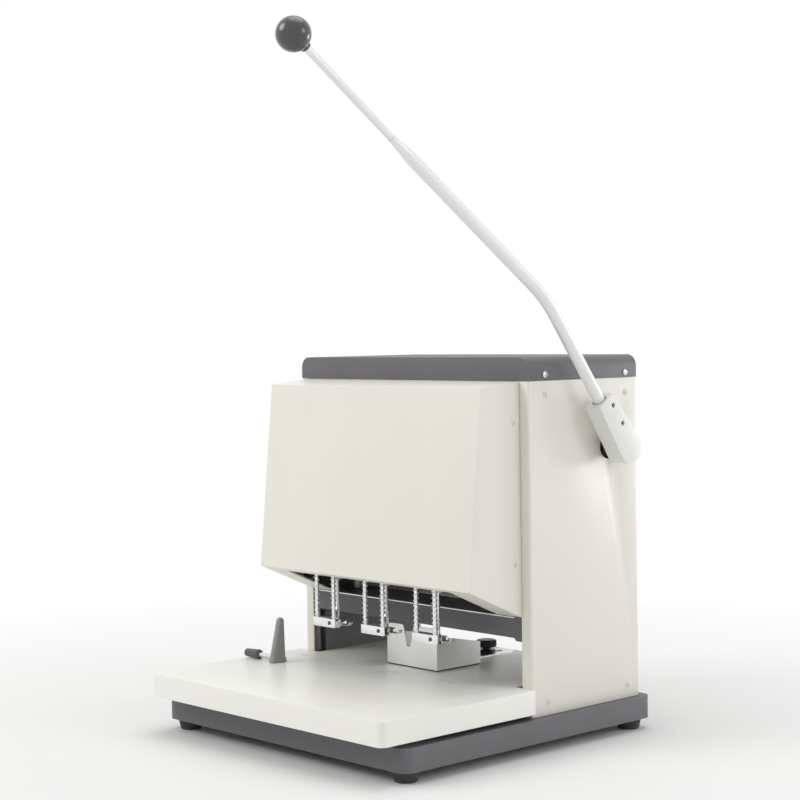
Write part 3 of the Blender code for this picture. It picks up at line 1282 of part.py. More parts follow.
def make_gauge_knob():
    """A thumb knob on a stud: the stud goes down through the gauge's slot into the table."""
    seat = GAUGE_BOTTOM_Z + GAUGE_SHEET + FIT_GAP
    down = seat - TABLE_TOP_Z + TABLE_SHEET
    neck = KNOB_WASHER + KNOB_NECK
    top = neck + KNOB_HEIGHT
    profile = (
        (0, top),
        (KNOB_RADIUS - 2 * KNOB_CHAMFER, top),
        (KNOB_RADIUS, top - KNOB_CHAMFER),
        (KNOB_RADIUS, neck + KNOB_CHAMFER),
        (KNOB_RADIUS - KNOB_CHAMFER, neck),
        (KNOB_NECK_RADIUS, neck),
        (KNOB_NECK_RADIUS, KNOB_WASHER),
        (KNOB_WASHER_RADIUS, KNOB_WASHER),
        (KNOB_WASHER_RADIUS, 0),
        (KNOB_STUD_RADIUS, 0),
        (KNOB_STUD_RADIUS, -down),
        (0, -down),
    )
    piece(turned(profile, (TAIL_X, KNOB_Y, seat), steps=16), "gauge_knob", "gauge_knob", "black")


def make_side_guide():
    """A tapered upright fin, clamped by a thumb knob whose stud lies across the table."""
    low, high = GAUGE_BOTTOM_Z, GAUGE_BOTTOM_Z + FIN_HEIGHT
    tip = FIN_TIP_RADIUS
    outline = [
        (FIN_FRONT_Y, low),
        (FIN_REAR_Y, low),
        *arc((FIN_TOP_REAR_Y - tip, high - tip), tip, 10, 165, 6),
    ]
    left, right = FIN_X - FIN_THICKNESS / 2, FIN_X + FIN_THICKNESS / 2
    fin = piece(slab([outline], "X", left, FIN_THICKNESS), "side_guide", "side_guide", "guide")
    bevel(fin, FIN_EDGE, 1)
    start = (left - OVERRUN, THUMB_Y, THUMB_Z)
    end = (left + THUMB_STUD_SEAT + FIT_GAP, THUMB_Y, THUMB_Z)
    combine(fin, cylinder(THUMB_STUD_RADIUS + FIT_GAP, start, end, 12))
    length = left + THUMB_STUD_SEAT - THUMB_LEFT_X
    chamfer = THUMB_CHAMFER
    profile = (
        (0, length),
        (THUMB_STUD_RADIUS, length),
        (THUMB_STUD_RADIUS, THUMB_LENGTH),
        (THUMB_RADIUS - chamfer, THUMB_LENGTH),
        (THUMB_RADIUS, THUMB_LENGTH - chamfer),
        (THUMB_RADIUS, 2 * chamfer),
        (THUMB_RADIUS - 2 * chamfer, 0),
        (0, 0),
    )
    start = (THUMB_LEFT_X, THUMB_Y, THUMB_Z)
    piece(turned(profile, start, (1, 0, 0), 16), "side_guide_knob", "side_guide_knob", "guide")


def make_power_module():
    """A snap-in inlet with a rocker above it, seen from behind the machine."""
    outside = COLUMN_REAR_Y - PANEL_SHEET
    half_width, half_height = MODULE_WIDTH / 2, MODULE_HEIGHT / 2
    low = (MODULE_X - half_width, outside - MODULE_BODY, MODULE_Z - half_height)
    high = (MODULE_X + half_width, outside + MODULE_FLANGE_SHEET, MODULE_Z + half_height)
    module = piece(block(low, high), "power_module", "frame", "black")
    wide = Vector((MODULE_FLANGE, 0, MODULE_FLANGE))
    flange_low = Vector((low[0], outside, low[2])) - wide
    join_on(module, block(flange_low, Vector(high) + wide))
    socket_z = MODULE_Z + SOCKET_Z
    mouth = high[1] + OVERRUN
    combine(module, block(
        (MODULE_X - SOCKET_WIDTH / 2, high[1] - SOCKET_RECESS, socket_z - SOCKET_HEIGHT / 2),
        (MODULE_X + SOCKET_WIDTH / 2, mouth, socket_z + SOCKET_HEIGHT / 2),
    ))
    floor = high[1] - SOCKET_RECESS
    for step in (-1, 0, 1):
        x = MODULE_X + step * PIN_SPACING
        join_on(module, block(
            (x - PIN_WIDTH / 2, floor - OVERRUN, socket_z - PIN_HEIGHT / 2),
            (x + PIN_WIDTH / 2, floor + PIN_LENGTH, socket_z + PIN_HEIGHT / 2),
        ))
    gap = ROCKER_GAP
    rocker_z = MODULE_Z + ROCKER_Z
    half = ROCKER_HEIGHT / 2
    half_width = ROCKER_WIDTH / 2 + FIT_GAP
    combine(module, block(
        (MODULE_X - half_width, high[1] - ROCKER_DEPTH - gap, rocker_z - half - gap),
        (MODULE_X + half_width, mouth, rocker_z + half + gap),
    ))
    face = high[1]
    section = [
        (face - ROCKER_DEPTH, rocker_z - half / 2),
        (face - ROCKER_PROUD, rocker_z - half),
        (face + ROCKER_PROUD, rocker_z - half),
        (face, rocker_z),
        (face - ROCKER_PROUD / 2, rocker_z + half),
        (face - 2 * ROCKER_PROUD, rocker_z + half),
        (face - ROCKER_DEPTH, rocker_z + half / 2),
    ]
    rocker = slab([section], "X", MODULE_X - ROCKER_WIDTH / 2, ROCKER_WIDTH)
    piece(rocker, "power_switch", "power_switch", "black")


clear_scene()
machine = new_collection(COLLECTION_NAME)
cutters = new_collection("cutters")
module_face = COLUMN_REAR_Y - PANEL_SHEET + MODULE_FLANGE_SHEET
add_axis("frame", (0, 0, 0))
add_axis("lever", (0, SHAFT_Y, SHAFT_Z), "frame")
add_axis("carriage", (0, SPINDLE_Y, FRONT_BEAM_TOP_Z), "frame")
add_axis("motor_pinion", (0, MOTOR_Y, GEAR_BOTTOM_Z), "carriage")
for unit_word, unit_side in UNITS.items():
    unit_x = unit_side * SPINDLE_SPACING
    add_axis("spindle_" + unit_word, (unit_x, SPINDLE_Y, GEAR_BOTTOM_Z), "carriage")
    add_axis("presser_" + unit_word, (unit_x, SPINDLE_Y, PRESSER_BOTTOM_Z), "carriage")
for idler_word, idler_side in zip(("left", "right"), SIDES):
    add_axis("idler_" + idler_word, (idler_side * SPINDLE_SPACING / 2, SPINDLE_Y, GEAR_BOTTOM_Z), "carriage")
add_axis("gauge", (GAUGE_X, GAUGE_FRONT_Y, GAUGE_BOTTOM_Z), "frame")
add_axis("gauge_knob", (TAIL_X, KNOB_Y, GAUGE_BOTTOM_Z), "frame")
add_axis("side_guide", (FIN_X, THUMB_Y, THUMB_Z), "frame")
add_axis("side_guide_knob", (THUMB_LEFT_X, THUMB_Y, THUMB_Z), "side_guide")
add_axis("power_switch", (MODULE_X, module_face - ROCKER_DEPTH / 2, MODULE_Z + ROCKER_Z), "frame")
bpy.context.view_layer.update()

make_tray()
make_feet()
make_table()
make_pads()
make_side_panels()
make_rear_cover()
make_top_cap()
make_head_cover()
make_frame_plates()
make_crossbars()
make_guide_columns()
make_lever_bush()
make_lever_shaft()
make_lever_hub()
make_lever_tube()
make_lever_rod()
make_ball_knob()
make_carriage()
make_rack()
make_motor()
make_return_spring()
make_gear_train()
make_spindles()
make_drill_bits()
make_presser_feet()
make_stirrups()
make_presser_springs()
make_back_gauge()
make_gauge_knob()
make_side_guide()
make_power_module()
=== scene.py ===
from math import asin, copysign, cos, pi, radians, sin, tan
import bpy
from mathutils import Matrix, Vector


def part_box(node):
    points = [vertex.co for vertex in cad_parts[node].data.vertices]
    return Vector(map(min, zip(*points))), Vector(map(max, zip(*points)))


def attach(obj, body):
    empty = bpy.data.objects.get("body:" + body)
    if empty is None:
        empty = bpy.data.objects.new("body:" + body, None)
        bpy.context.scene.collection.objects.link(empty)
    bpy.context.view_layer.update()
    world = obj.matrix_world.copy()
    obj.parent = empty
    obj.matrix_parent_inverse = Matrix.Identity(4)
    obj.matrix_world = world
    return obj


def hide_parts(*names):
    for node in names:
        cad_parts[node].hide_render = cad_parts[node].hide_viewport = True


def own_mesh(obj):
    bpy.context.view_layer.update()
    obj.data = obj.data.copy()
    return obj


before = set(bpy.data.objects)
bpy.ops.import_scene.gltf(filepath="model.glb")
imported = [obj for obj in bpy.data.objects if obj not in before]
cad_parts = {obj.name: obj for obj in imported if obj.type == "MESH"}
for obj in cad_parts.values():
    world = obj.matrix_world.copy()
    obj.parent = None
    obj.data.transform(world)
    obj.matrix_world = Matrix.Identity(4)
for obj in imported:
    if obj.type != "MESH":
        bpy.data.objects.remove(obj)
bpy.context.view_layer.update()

from types import SimpleNamespace as Values

import bmesh
import bpy
from mathutils import Matrix, Vector

print("frame loaded:", len(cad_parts), "solids")

# the machine's own frame: x from the middle spindle, z from the desk
layout = {
    "spindleY": -0.034,
    "spindleSpacing": 0.08,
    "units": {"left": -1, "centre": 0, "right": 1},
    "shaft": (0.125, 0.3078),   # the lever's axis, y and z
    "gap": 0.0003,              # between pieces that sit on each other
    "past": 0.002,              # how far a cutting shape runs past what it cuts
    "far": 1.0,                 # beyond the whole machine
    "seat": 0.00005,            # how deep a screw's head sits in a sheet
}
layout = Values(**layout)
sides = ((-1, "left"), (1, "right"))
spindleLow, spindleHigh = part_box("geared_spindle_centre")
shift = (spindleLow + spindleHigh) / 2
shift = Vector((shift.x, shift.y - layout.spindleY, 0))


def at(x, y, z):
    return Vector((x, y, z)) + shift


def nodeBox(node):
    # a solid's lowest and highest corner, in the machine's own frame
    low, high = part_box(node)
    return low - shift, high - shift


# shapes


def meshFrom(shape, name="shape"):
    mesh = bpy.data.meshes.new(name)
    shape.to_mesh(mesh)
    shape.free()
    return mesh


def tidied(mesh):
    shape = bmesh.new()
    shape.from_mesh(mesh)
    bmesh.ops.remove_doubles(shape, verts=shape.verts, dist=0.000001)
    bmesh.ops.recalc_face_normals(shape, faces=shape.faces)
    shape.to_mesh(mesh)
    shape.free()
    return mesh


def evaluated(source, kind=None, **settings):
    # an object's mesh, after one modifier if its kind is given
    modifier = source.modifiers.new("change", kind) if kind else None
    for key, value in settings.items():
        setattr(modifier, key, value)
    bpy.context.view_layer.update()
    graph = bpy.context.evaluated_depsgraph_get()
    mesh = bpy.data.meshes.new_from_object(source.evaluated_get(graph))
    mesh.materials.clear()
    bpy.data.objects.remove(source, do_unlink=True)
    return tidied(mesh)


def added(name, data):
    made = bpy.data.objects.new(name, data)
    bpy.context.scene.collection.objects.link(made)
    return made


def temporary(data):
    return added("temporary", data)


def box(low, high):
    low, high = Vector(low), Vector(high)
    shape = bmesh.new()
    bmesh.ops.create_cube(shape, size=1.0)
    bmesh.ops.scale(shape, vec=high - low, verts=shape.verts)
    bmesh.ops.translate(shape, vec=(low + high) / 2, verts=shape.verts)
    return meshFrom(shape)


def below(level):
    far = layout.far
    return box((-far, -far, 0), (far, far, level))


def facing(start, way):
    turn = Vector((0, 0, 1)).rotation_difference(Vector(way).normalized())
    return Matrix.Translation(Vector(start)) @ turn.to_matrix().to_4x4()


def rod(radius, start, end, corners=48):
    start, end = Vector(start), Vector(end)
    length = (end - start).length
    shape = bmesh.new()
    matrix = facing(start, end - start) @ Matrix.Translation((0, 0, length / 2))
    bmesh.ops.create_cone(shape, cap_ends=True, segments=corners, radius1=radius, radius2=radius,
                          depth=length, matrix=matrix)
    return meshFrom(shape)


def arc(centre, radius, first, last, count):
    angles = [radians(first + (last - first) * i / (count - 1)) for i in range(count)]
    return [(centre[0] + radius * cos(a), centre[1] + radius * sin(a)) for a in angles]


def roundRect(left, right, low, high, radius, count=10):
    points = []
    for x, y, first in ((right, high, 0), (left, high, 90), (left, low, 180), (right, low, 270)):
        centre = (x - copysign(radius, x - (left + right) / 2),
                  y - copysign(radius, y - (low + high) / 2))
        points += arc(centre, radius, first, first + 90, count)
    return points


planes = {
    "x": Matrix(((0, 0, 1), (1, 0, 0), (0, 1, 0))),
    "y": Matrix(((1, 0, 0), (0, 0, -1), (0, 1, 0))),
    "z": Matrix.Identity(3),
}


def plate(loops, plane, level, thickness):
    # a flat outline with holes, thickened along its plane's normal
    curve = bpy.data.curves.new("outline", "CURVE")
    curve.dimensions = "2D"
    curve.fill_mode = "BOTH"
    curve.extrude = thickness / 2
    for loop in loops:
        spline = curve.splines.new("POLY")
        spline.points.add(len(loop) - 1)
        spline.use_cyclic_u = True
        for point, (across, along) in zip(spline.points, loop):
            point.co = (across, along, 0, 1)
    mesh = evaluated(temporary(curve))
    middle = level + thickness / 2
    offset = {"x": (middle, 0, 0), "y": (0, middle, 0), "z": (0, 0, middle)}[plane]
    mesh.transform(Matrix.Translation(offset) @ planes[plane].to_4x4())
    return mesh


def lathe(profile, start, way=(0, 0, 1), steps=64, closed=False):
    mesh = bpy.data.meshes.new("profile")
    edges = [(i, i + 1) for i in range(len(profile) - 1)]
    if closed:
        edges.append((len(profile) - 1, 0))
    mesh.from_pydata([(radius, 0, height) for radius, height in profile], edges, [])
    result = evaluated(temporary(mesh), "SCREW", steps=steps, render_steps=steps,
                       use_merge_vertices=True, merge_threshold=0.000002)
    result.transform(facing(start, way))
    return result


def rounded(mesh, width, segments=4, angle=35):
    return evaluated(temporary(mesh), "BEVEL", width=width, segments=segments,
                     limit_method="ANGLE", angle_limit=radians(angle))


def combined(mesh, tools, operation):
    for tool in tools:
        cutter = temporary(tool)
        mesh = evaluated(temporary(mesh), "BOOLEAN", object=cutter, operation=operation,
                         solver="EXACT")
        bpy.data.objects.remove(cutter, do_unlink=True)
    return mesh


def carved(mesh, *tools):
    return combined(mesh, tools, "DIFFERENCE")


def joined(mesh, *others):
    return combined(mesh, others, "UNION")


def merged(meshes):
    # several loose meshes as one, for small parts of one piece that only touch
    shape = bmesh.new()
    for mesh in meshes:
        shape.from_mesh(mesh)
    return meshFrom(shape)


def loft(rings):
    # a closed skin over rings that have the same number of points
    shape = bmesh.new()
    made = [[shape.verts.new(point) for point in ringPoints] for ringPoints in rings]
    count = len(made[0])
    for first, second in zip(made, made[1:]):
        for k in range(count):
            shape.faces.new((first[k], first[(k + 1) % count], second[(k + 1) % count], second[k]))
    shape.faces.new(list(reversed(made[0])))
    shape.faces.new(made[-1])
    return tidied(meshFrom(shape))


def tube(points, radius, corners, shares=None):
    # a round tube along points, swept without twist
    points = [Vector(p) for p in points]
    ways = [(points[min(i + 1, len(points) - 1)] - points[max(i - 1, 0)]).normalized()
            for i in range(len(points))]
    across = ways[0].orthogonal().normalized()
    rings = []
    for i, (point, way) in enumerate(zip(points, ways)):
        if i:
            across = (ways[i - 1].rotation_difference(way) @ across).normalized()
        up = way.cross(across)
        size = radius * (shares[i] if shares else 1.0)
        rings.append([point + (across * cos(a) + up * sin(a)) * size
                      for a in (2 * pi * k / corners for k in range(corners))])
    return loft(rings)


def inset(points, distance):
    # a convex outline, drawn anticlockwise, moved inwards
    lines = []
    for i, first in enumerate(points):
        start, end = Vector(first), Vector(points[(i + 1) % len(points)])
        way = (end - start).normalized()
        lines.append((start + Vector((-way.y, way.x)) * distance, way))
    moved = []
    for i, (start, way) in enumerate(lines):
        before, beforeWay = lines[i - 1]
        turn = beforeWay.x * way.y - beforeWay.y * way.x
        offset = start - before
        moved.append(tuple(before + beforeWay * (offset.x * way.y - offset.y * way.x) / turn))
    return moved


def piece(name, mesh, finish, node=None, body="frame", slot=None, smooth=35):
    # a piece that replaces a solid hides it; the slot it would take, the finish's own name unless
    # another is given, is worked out but not used
    mesh.transform(Matrix.Translation(shift))
    mesh.shade_smooth()
    mesh.set_sharp_from_angle(angle=radians(smooth))
    mesh.name = name
    mesh.materials.append(finishes[finish])
    made = added(name, mesh)
    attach(made, body)
    if node:
        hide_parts(node)
        slot = slot or finish
    return made


# materials


def node(tree, kind, inputs=None, **settings):
    # each input is a plain value or another node's output
    made = tree.nodes.new("ShaderNode" + kind)
    for key, value in settings.items():
        setattr(made, key, value)
    for key, value in (inputs or {}).items():
        if isinstance(value, bpy.types.NodeSocket):
            tree.links.new(value, made.inputs[key])
        else:
            made.inputs[key].default_value = value
    return made


def noise(tree, scale, detail=3.0, roughness=0.5, stretch=(1, 1, 1)):
    place = node(tree, "TexCoord").outputs["Object"]
    place = node(tree, "Mapping", {"Vector": place, "Scale": stretch}).outputs["Vector"]
    values = {"Vector": place, "Scale": scale, "Detail": detail, "Roughness": roughness}
    return node(tree, "TexNoise", values).outputs["Fac"]


def ramp(tree, source, low, high, first=0.35, last=0.65):
    made = node(tree, "ValToRGB", {"Fac": source})
    stops = made.color_ramp.elements
    stops[0].position, stops[1].position = first, last
    stops[0].color, stops[1].color = (*low, 1), (*high, 1)
    return made.outputs["Color"]


def valueRange(tree, source, low, high, first=0.3, last=0.7):
    values = {"Value": source, "From Min": first, "From Max": last, "To Min": low, "To Max": high}
    return node(tree, "MapRange", values).outputs["Result"]


def bump(tree, height, strength, depth, under=None):
    values = {"Height": height, "Strength": strength, "Distance": depth}
    if under:
        values["Normal"] = under
    return node(tree, "Bump", values).outputs["Normal"]


edgeWearAndHighlight = {"width": 0.0012, "sharp": 0.82, "flat": 0.995, "patches": 160.0, "least": 0.2}


def wornAndHighlitEdges(tree, colour, wornAndHighlitColour, share):
    # where the rounded-off surface leaves the true one there is an edge, mixed towards a lighter
    # colour: partly edge wear, partly a painted highlight where the edge catches the light; noise
    # breaks it up
    w = Values(**edgeWearAndHighlight)
    soft = node(tree, "Bevel", {"Radius": w.width}, samples=4).outputs["Normal"]
    true = node(tree, "NewGeometry").outputs["Normal"]
    match = node(tree, "VectorMath", {0: soft, 1: true}, operation="DOT_PRODUCT").outputs["Value"]
    edge = valueRange(tree, match, share, 0.0, w.sharp, w.flat)
    patches = valueRange(tree, noise(tree, w.patches, 3.0, 0.6), w.least, 1.0)
    broken = node(tree, "Math", {0: edge, 1: patches}, operation="MULTIPLY").outputs[0]
    mix = node(tree, "Mix", {"Factor": broken, "A": colour, "B": (*wornAndHighlitColour, 1)}, data_type="RGBA")
    return mix.outputs["Result"]


def surface(name, colour, roughness, spread, metallic=0.0, tone=0.96, toneScale=7.0,
            grain=(700, 0.3, 3e-5), fine=None, stretch=(1, 1, 1), coat=(0.0, 0.1), specular=0.5,
            wearAndHighlight=None):
    # tone: how far the colour falls in broad patches; grain and fine: scale, strength and depth of
    # the surface's small relief; coat: weight and roughness; last, the edges' lighter colour and
    # its share, partly edge wear and partly a painted highlight where rounded edges catch the light
    material = bpy.data.materials.new(name)
    material.use_nodes = True
    tree = material.node_tree
    shader = tree.nodes["Principled BSDF"].inputs
    shader["Metallic"].default_value = metallic
    shader["Specular IOR Level"].default_value = specular
    shader["Coat Weight"].default_value, shader["Coat Roughness"].default_value = coat
    dark = tuple(tone * c for c in colour)
    colour = ramp(tree, noise(tree, toneScale, 4.0, 0.55), dark, colour)
    if wearAndHighlight:
        colour = wornAndHighlitEdges(tree, colour, *wearAndHighlight)
    relief = noise(tree, grain[0], 2.0, 0.5, stretch)
    normal = bump(tree, relief, *grain[1:])
    if fine:
        normal = bump(tree, noise(tree, fine[0], 3.0, 0.6, stretch), *fine[1:], normal)
    values = {"Base Color": colour, "Normal": normal,
              "Roughness": valueRange(tree, relief, roughness - spread, roughness + spread)}
    for key, source in values.items():
        tree.links.new(source, shader[key])
    return material


finishes = {
    "cream": surface("creamPaint", (0.825, 0.805, 0.735), 0.4, 0.05, tone=0.975,
        grain=(420, 0.25, 2e-5), coat=(0.2, 0.3), wearAndHighlight=((0.9, 0.89, 0.85), 0.35)),
    "creamInside": surface("creamPaintInside", (0.78, 0.77, 0.715), 0.5, 0.05,
        grain=(500, 0.3, 3e-5)),
    "table": surface("tableEnamel", (0.885, 0.88, 0.835), 0.42, 0.05, tone=0.98,
        grain=(260, 0.2, 1.5e-5), coat=(0.14, 0.24)),
    "dark": surface("greyTexturePaint", (0.135, 0.132, 0.142), 0.52, 0.08, tone=0.92, toneScale=12,
        grain=(1300, 0.6, 6e-5), fine=(420, 0.35, 5e-5), wearAndHighlight=((0.3, 0.3, 0.31), 0.5)),
    "frameGrey": surface("framePaint", (0.125, 0.123, 0.132), 0.5, 0.08, tone=0.9, toneScale=14,
        grain=(900, 0.4, 4e-5), wearAndHighlight=((0.3, 0.3, 0.3), 0.4)),
    "rubber": surface("footRubber", (0.048, 0.048, 0.051), 0.7, 0.08, tone=0.8, toneScale=60,
        grain=(1500, 0.5, 5e-5)),
    "chrome": surface("chromePlate", (0.83, 0.83, 0.84), 0.14, 0.05, metallic=1.0, tone=0.95,
        toneScale=30, grain=(500, 0.15, 1e-5)),
    "gaugePlate": surface("brushedPlate", (0.86, 0.86, 0.845), 0.34, 0.03, metallic=0.7,
        toneScale=18, grain=(700, 0.1, 3e-6), stretch=(0.1, 1, 1), wearAndHighlight=((0.92, 0.92, 0.91), 0.6)),
    "steel": surface("brightSteel", (0.72, 0.72, 0.71), 0.22, 0.03, metallic=1.0,
        toneScale=18, grain=(900, 0.2, 4e-6), stretch=(0.04, 1, 1)),
    "turnedSteel": surface("turnedSteel", (0.62, 0.62, 0.62), 0.28, 0.07, metallic=1.0, tone=0.92,
        toneScale=40, grain=(1500, 0.3, 1e-5), stretch=(0.1, 0.1, 1)),
    "oiledSteel": surface("oiledSteel", (0.22, 0.22, 0.225), 0.34, 0.06, metallic=0.8, tone=0.9,
        toneScale=40, grain=(900, 0.2, 1e-5), stretch=(1, 1, 0.1)),
    "springWire": surface("springWire", (0.8, 0.8, 0.8), 0.36, 0.05, metallic=0.55, tone=0.94,
        toneScale=60, grain=(600, 0.1, 1e-5)),
    # painted shade: a dark finish for the strip that stands in for the throat's shadow
    "trim": surface("throatPaintedShade", (0.085, 0.083, 0.083), 0.6, 0.06, tone=0.85, toneScale=40,
        grain=(900, 0.3, 3e-5)),
    # painted shadow: a dark finish for the strip round the back gauge's foot
    "felt": surface("gaugeFootShadow", (0.06, 0.06, 0.06), 0.9, 0.05, tone=0.8, toneScale=90,
        grain=(2500, 0.5, 4e-5)),
    "casting": surface("castMetal", (0.66, 0.66, 0.665), 0.55, 0.1, metallic=0.05, tone=0.85,
        toneScale=25, grain=(600, 0.6, 0.00012)),
    "lever": surface("satinLeverPlate", (0.83, 0.83, 0.83), 0.34, 0.03, metallic=0.3, tone=0.975,
        toneScale=14, grain=(90, 0.08, 2e-5), coat=(0.3, 0.2)),
    "leverRod": surface("rodChrome", (0.78, 0.78, 0.785), 0.2, 0.03, metallic=1.0, tone=0.97,
        toneScale=14, grain=(90, 0.08, 2e-5)),
    "hub": surface("hubEnamel", (0.78, 0.78, 0.765), 0.36, 0.05, metallic=0.1, toneScale=30,
        grain=(300, 0.3, 4e-5), coat=(0.15, 0.25), wearAndHighlight=((0.9, 0.9, 0.89), 0.5)),
    "pad": surface("padPlastic", (0.82, 0.815, 0.78), 0.42, 0.06, tone=0.93, toneScale=90,
        grain=(700, 0.3, 2e-5)),
    "black": surface("blackPlastic", (0.022, 0.022, 0.025), 0.36, 0.08, tone=0.85, toneScale=40,
        grain=(900, 0.3, 3e-5), wearAndHighlight=((0.08, 0.08, 0.085), 0.6)),
    "ball": surface("ballPlastic", (0.055, 0.055, 0.06), 0.2, 0.04, tone=0.9, toneScale=40,
        grain=(300, 0.1, 1e-5), coat=(0.4, 0.1)),
    "guide": surface("guidePlastic", (0.3, 0.3, 0.305), 0.42, 0.06, tone=0.88, toneScale=60,
        grain=(600, 0.3, 3e-5), wearAndHighlight=((0.42, 0.42, 0.42), 0.4)),
    "thumb": surface("thumbPlastic", (0.085, 0.085, 0.09), 0.4, 0.06, tone=0.88, toneScale=60,
        grain=(600, 0.3, 3e-5), wearAndHighlight=((0.2, 0.2, 0.2), 0.5)),
    "screw": surface("zincScrew", (0.72, 0.72, 0.7), 0.28, 0.06, metallic=1.0, tone=0.9,
        toneScale=200, grain=(1200, 0.3, 3e-5)),
    "paintedScrew": surface("paintedScrew", (0.76, 0.745, 0.68), 0.42, 0.05, toneScale=90),
    "brownScrew": surface("bronzedScrew", (0.2, 0.19, 0.17), 0.4, 0.08, metallic=0.8, tone=0.85,
        toneScale=200, grain=(1200, 0.3, 3e-5)),
}
print("materials made:", len(finishes))


# small fasteners


# shares of the head's radius and height; turn: each head's angle after the one before
screw = {"crown": 0.75, "recess": 0.45, "arm": 0.58, "slot": 0.16, "hexagon": 0.5, "turn": 0.9}
screw = Values(**screw)


def screwHead(radius, height, hexagon):
    # a domed head, standing on z = 0, with a driver recess
    crown = height * screw.crown
    profile = [(0, height)]
    profile += [(radius * sin(a), height - crown + crown * cos(a))
                for a in (radians(90 * i / 8) for i in range(1, 9))]
    profile += [(radius, 0), (0, 0)]
    head = lathe(profile, (0, 0, 0), steps=32)
    arm, thin = radius * screw.arm, radius * screw.slot
    low, high = height * screw.recess, height * 2
    if hexagon:
        return carved(head, rod(radius * screw.hexagon, (0, 0, low), (0, 0, high), 6))
    return carved(head, box((-arm, -thin, low), (arm, thin, high)),
                  box((-thin, -arm, low), (thin, arm, high)))


def addScrews(name, places, way, finish, radius, height, body="frame", hexagon=False):
    heads = []
    for i, place in enumerate(places):
        head = screwHead(radius, height, hexagon)
        head.transform(facing(place, way) @ Matrix.Rotation(0.5 + screw.turn * i, 4, "Z"))
        heads.append(head)
    piece(name, merged(heads), finish, body=body)


def addSideScrews(name, side, half, places, *finishAndSize):
    # on an upright face at half, left or right; places: y and z
    spots = [(side * (half - layout.seat), y, z) for y, z in places]
    addScrews(name, spots, (side, 0, 0), *finishAndSize)


def dress(finish, *nodes):
    # a solid that shows as it is
    for node in nodes:
        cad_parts[node].data.materials[0] = finishes[finish]


# tray and feet

tray = {
    "width": 0.384, "depth": 0.366, "offsetX": -0.0044, "low": 0.012, "high": 0.036,
    "corner": 0.0125, "rim": 0.0046, "wall": 0.002, "lip": 0.038, "mouthCorner": 0.006,
}
foot = {
    "height": 0.0117, "top": 0.0135, "base": 0.0115, "edge": 0.0015, "inset": 0.0185,
    "recess": 0.004, "recessDepth": 0.005,
}


def buildTray(t):
    left, right = t.offsetX - t.width / 2, t.offsetX + t.width / 2
    front, rear = -t.depth / 2, t.depth / 2
    past = layout.past
    outline = roundRect(left, right, front, rear, t.corner, 16)
    shell = rounded(plate([outline], "z", t.low - t.rim, t.high - t.low + t.rim), t.rim, 5)
    under = box((left - past, front - past, 0), (right + past, rear + past, t.low))
    lip, wall = t.lip, t.wall
    mouth = roundRect(left + lip, right - lip, front + lip, rear - lip, t.mouthCorner, 8)
    mouth = plate([mouth], "z", t.low - past, (t.high - t.low) / 2)
    cavity = roundRect(left + wall, right - wall, front + wall, rear - wall, t.corner - wall, 16)
    cavity = rounded(plate([cavity], "z", t.low + wall, t.high - t.low - 2 * wall), t.rim - wall, 4)
    # the mouth is cut before the cavity, so that the hollow is never a closed bubble
    shell = carved(shell, under, mouth, cavity)
    piece("trayPan", shell, "dark", "base_tray")


def buildFeet(f, t):
    top, base, edge, height = f.top, f.base, f.edge, f.height
    flank = [(base + (top - base) * t, edge + (height - 2 * edge) * t)
             for t in (1, 0.75, 0.5, 0.25)]
    profile = [(0, height), (top - edge / 2, height), (top, height - edge / 2), *flank]
    profile += [(base - edge + edge * sin(radians(a)), edge - edge * cos(radians(a)))
                for a in (90, 65, 40, 15, 0)]
    profile += [(f.recess, 0), (f.recess, f.recessDepth), (0, f.recessDepth)]
    heads = []
    for side, word in sides:
        for end, endWord in ((-1, "front"), (1, "rear")):
            x = t.offsetX + side * (t.width / 2 - f.inset)
            y = end * (t.depth / 2 - f.inset)
            piece(endWord + word.title() + "Foot", lathe(profile, (x, y, 0), steps=48), "rubber",
                  "foot_" + endWord + "_" + word)
            heads.append((x, y, f.recessDepth - layout.gap / 3))
    addScrews("footScrews", heads, (0, 0, -1), "screw", f.recess * 0.85, 0.002)


trayValues = Values(**tray)
buildTray(trayValues)
buildFeet(Values(**foot), trayValues)
print("tray and feet made")

# table and cutting pads

tableTop = {
    "width": 0.3725, "offsetX": -0.0025, "frontY": -0.209, "stepY": 0.0027, "rearY": 0.158,
    "narrow": 0.1557, "low": 0.0409, "high": 0.0657, "sheet": 0.002, "edge": 0.0028,
    "corner": 0.008, "slotX": -0.136, "slotY": -0.024, "slotLength": 0.042, "slotWidth": 0.0022,
    "studX": 0.002, "studY": 0.1167, "studRadius": 0.0034,
}
pad = {
    "radius": 0.015, "flange": 0.0175, "flangeHeight": 0.003, "chamfer": 0.0004, "drilled": 0.0029,
    "drilledDepth": 0.0009, "groove": (0.62, 0.635, 0.65), "grooveDepth": 0.0002,
}


def tableOutline(t, inwards, corner):
    wide, narrow = t.width / 2 - inwards, t.narrow - inwards
    front, step, rear = t.frontY + inwards, t.stepY - inwards, t.rearY - inwards
    left, right = t.offsetX - wide, t.offsetX + wide
    points = arc((left + corner, front + corner), corner, 180, 270, 8)
    points += arc((right - corner, front + corner), corner, 270, 360, 8)
    return points + [(right, step), (narrow, step), (narrow, rear),
                     (-narrow, rear), (-narrow, step), (left, step)]


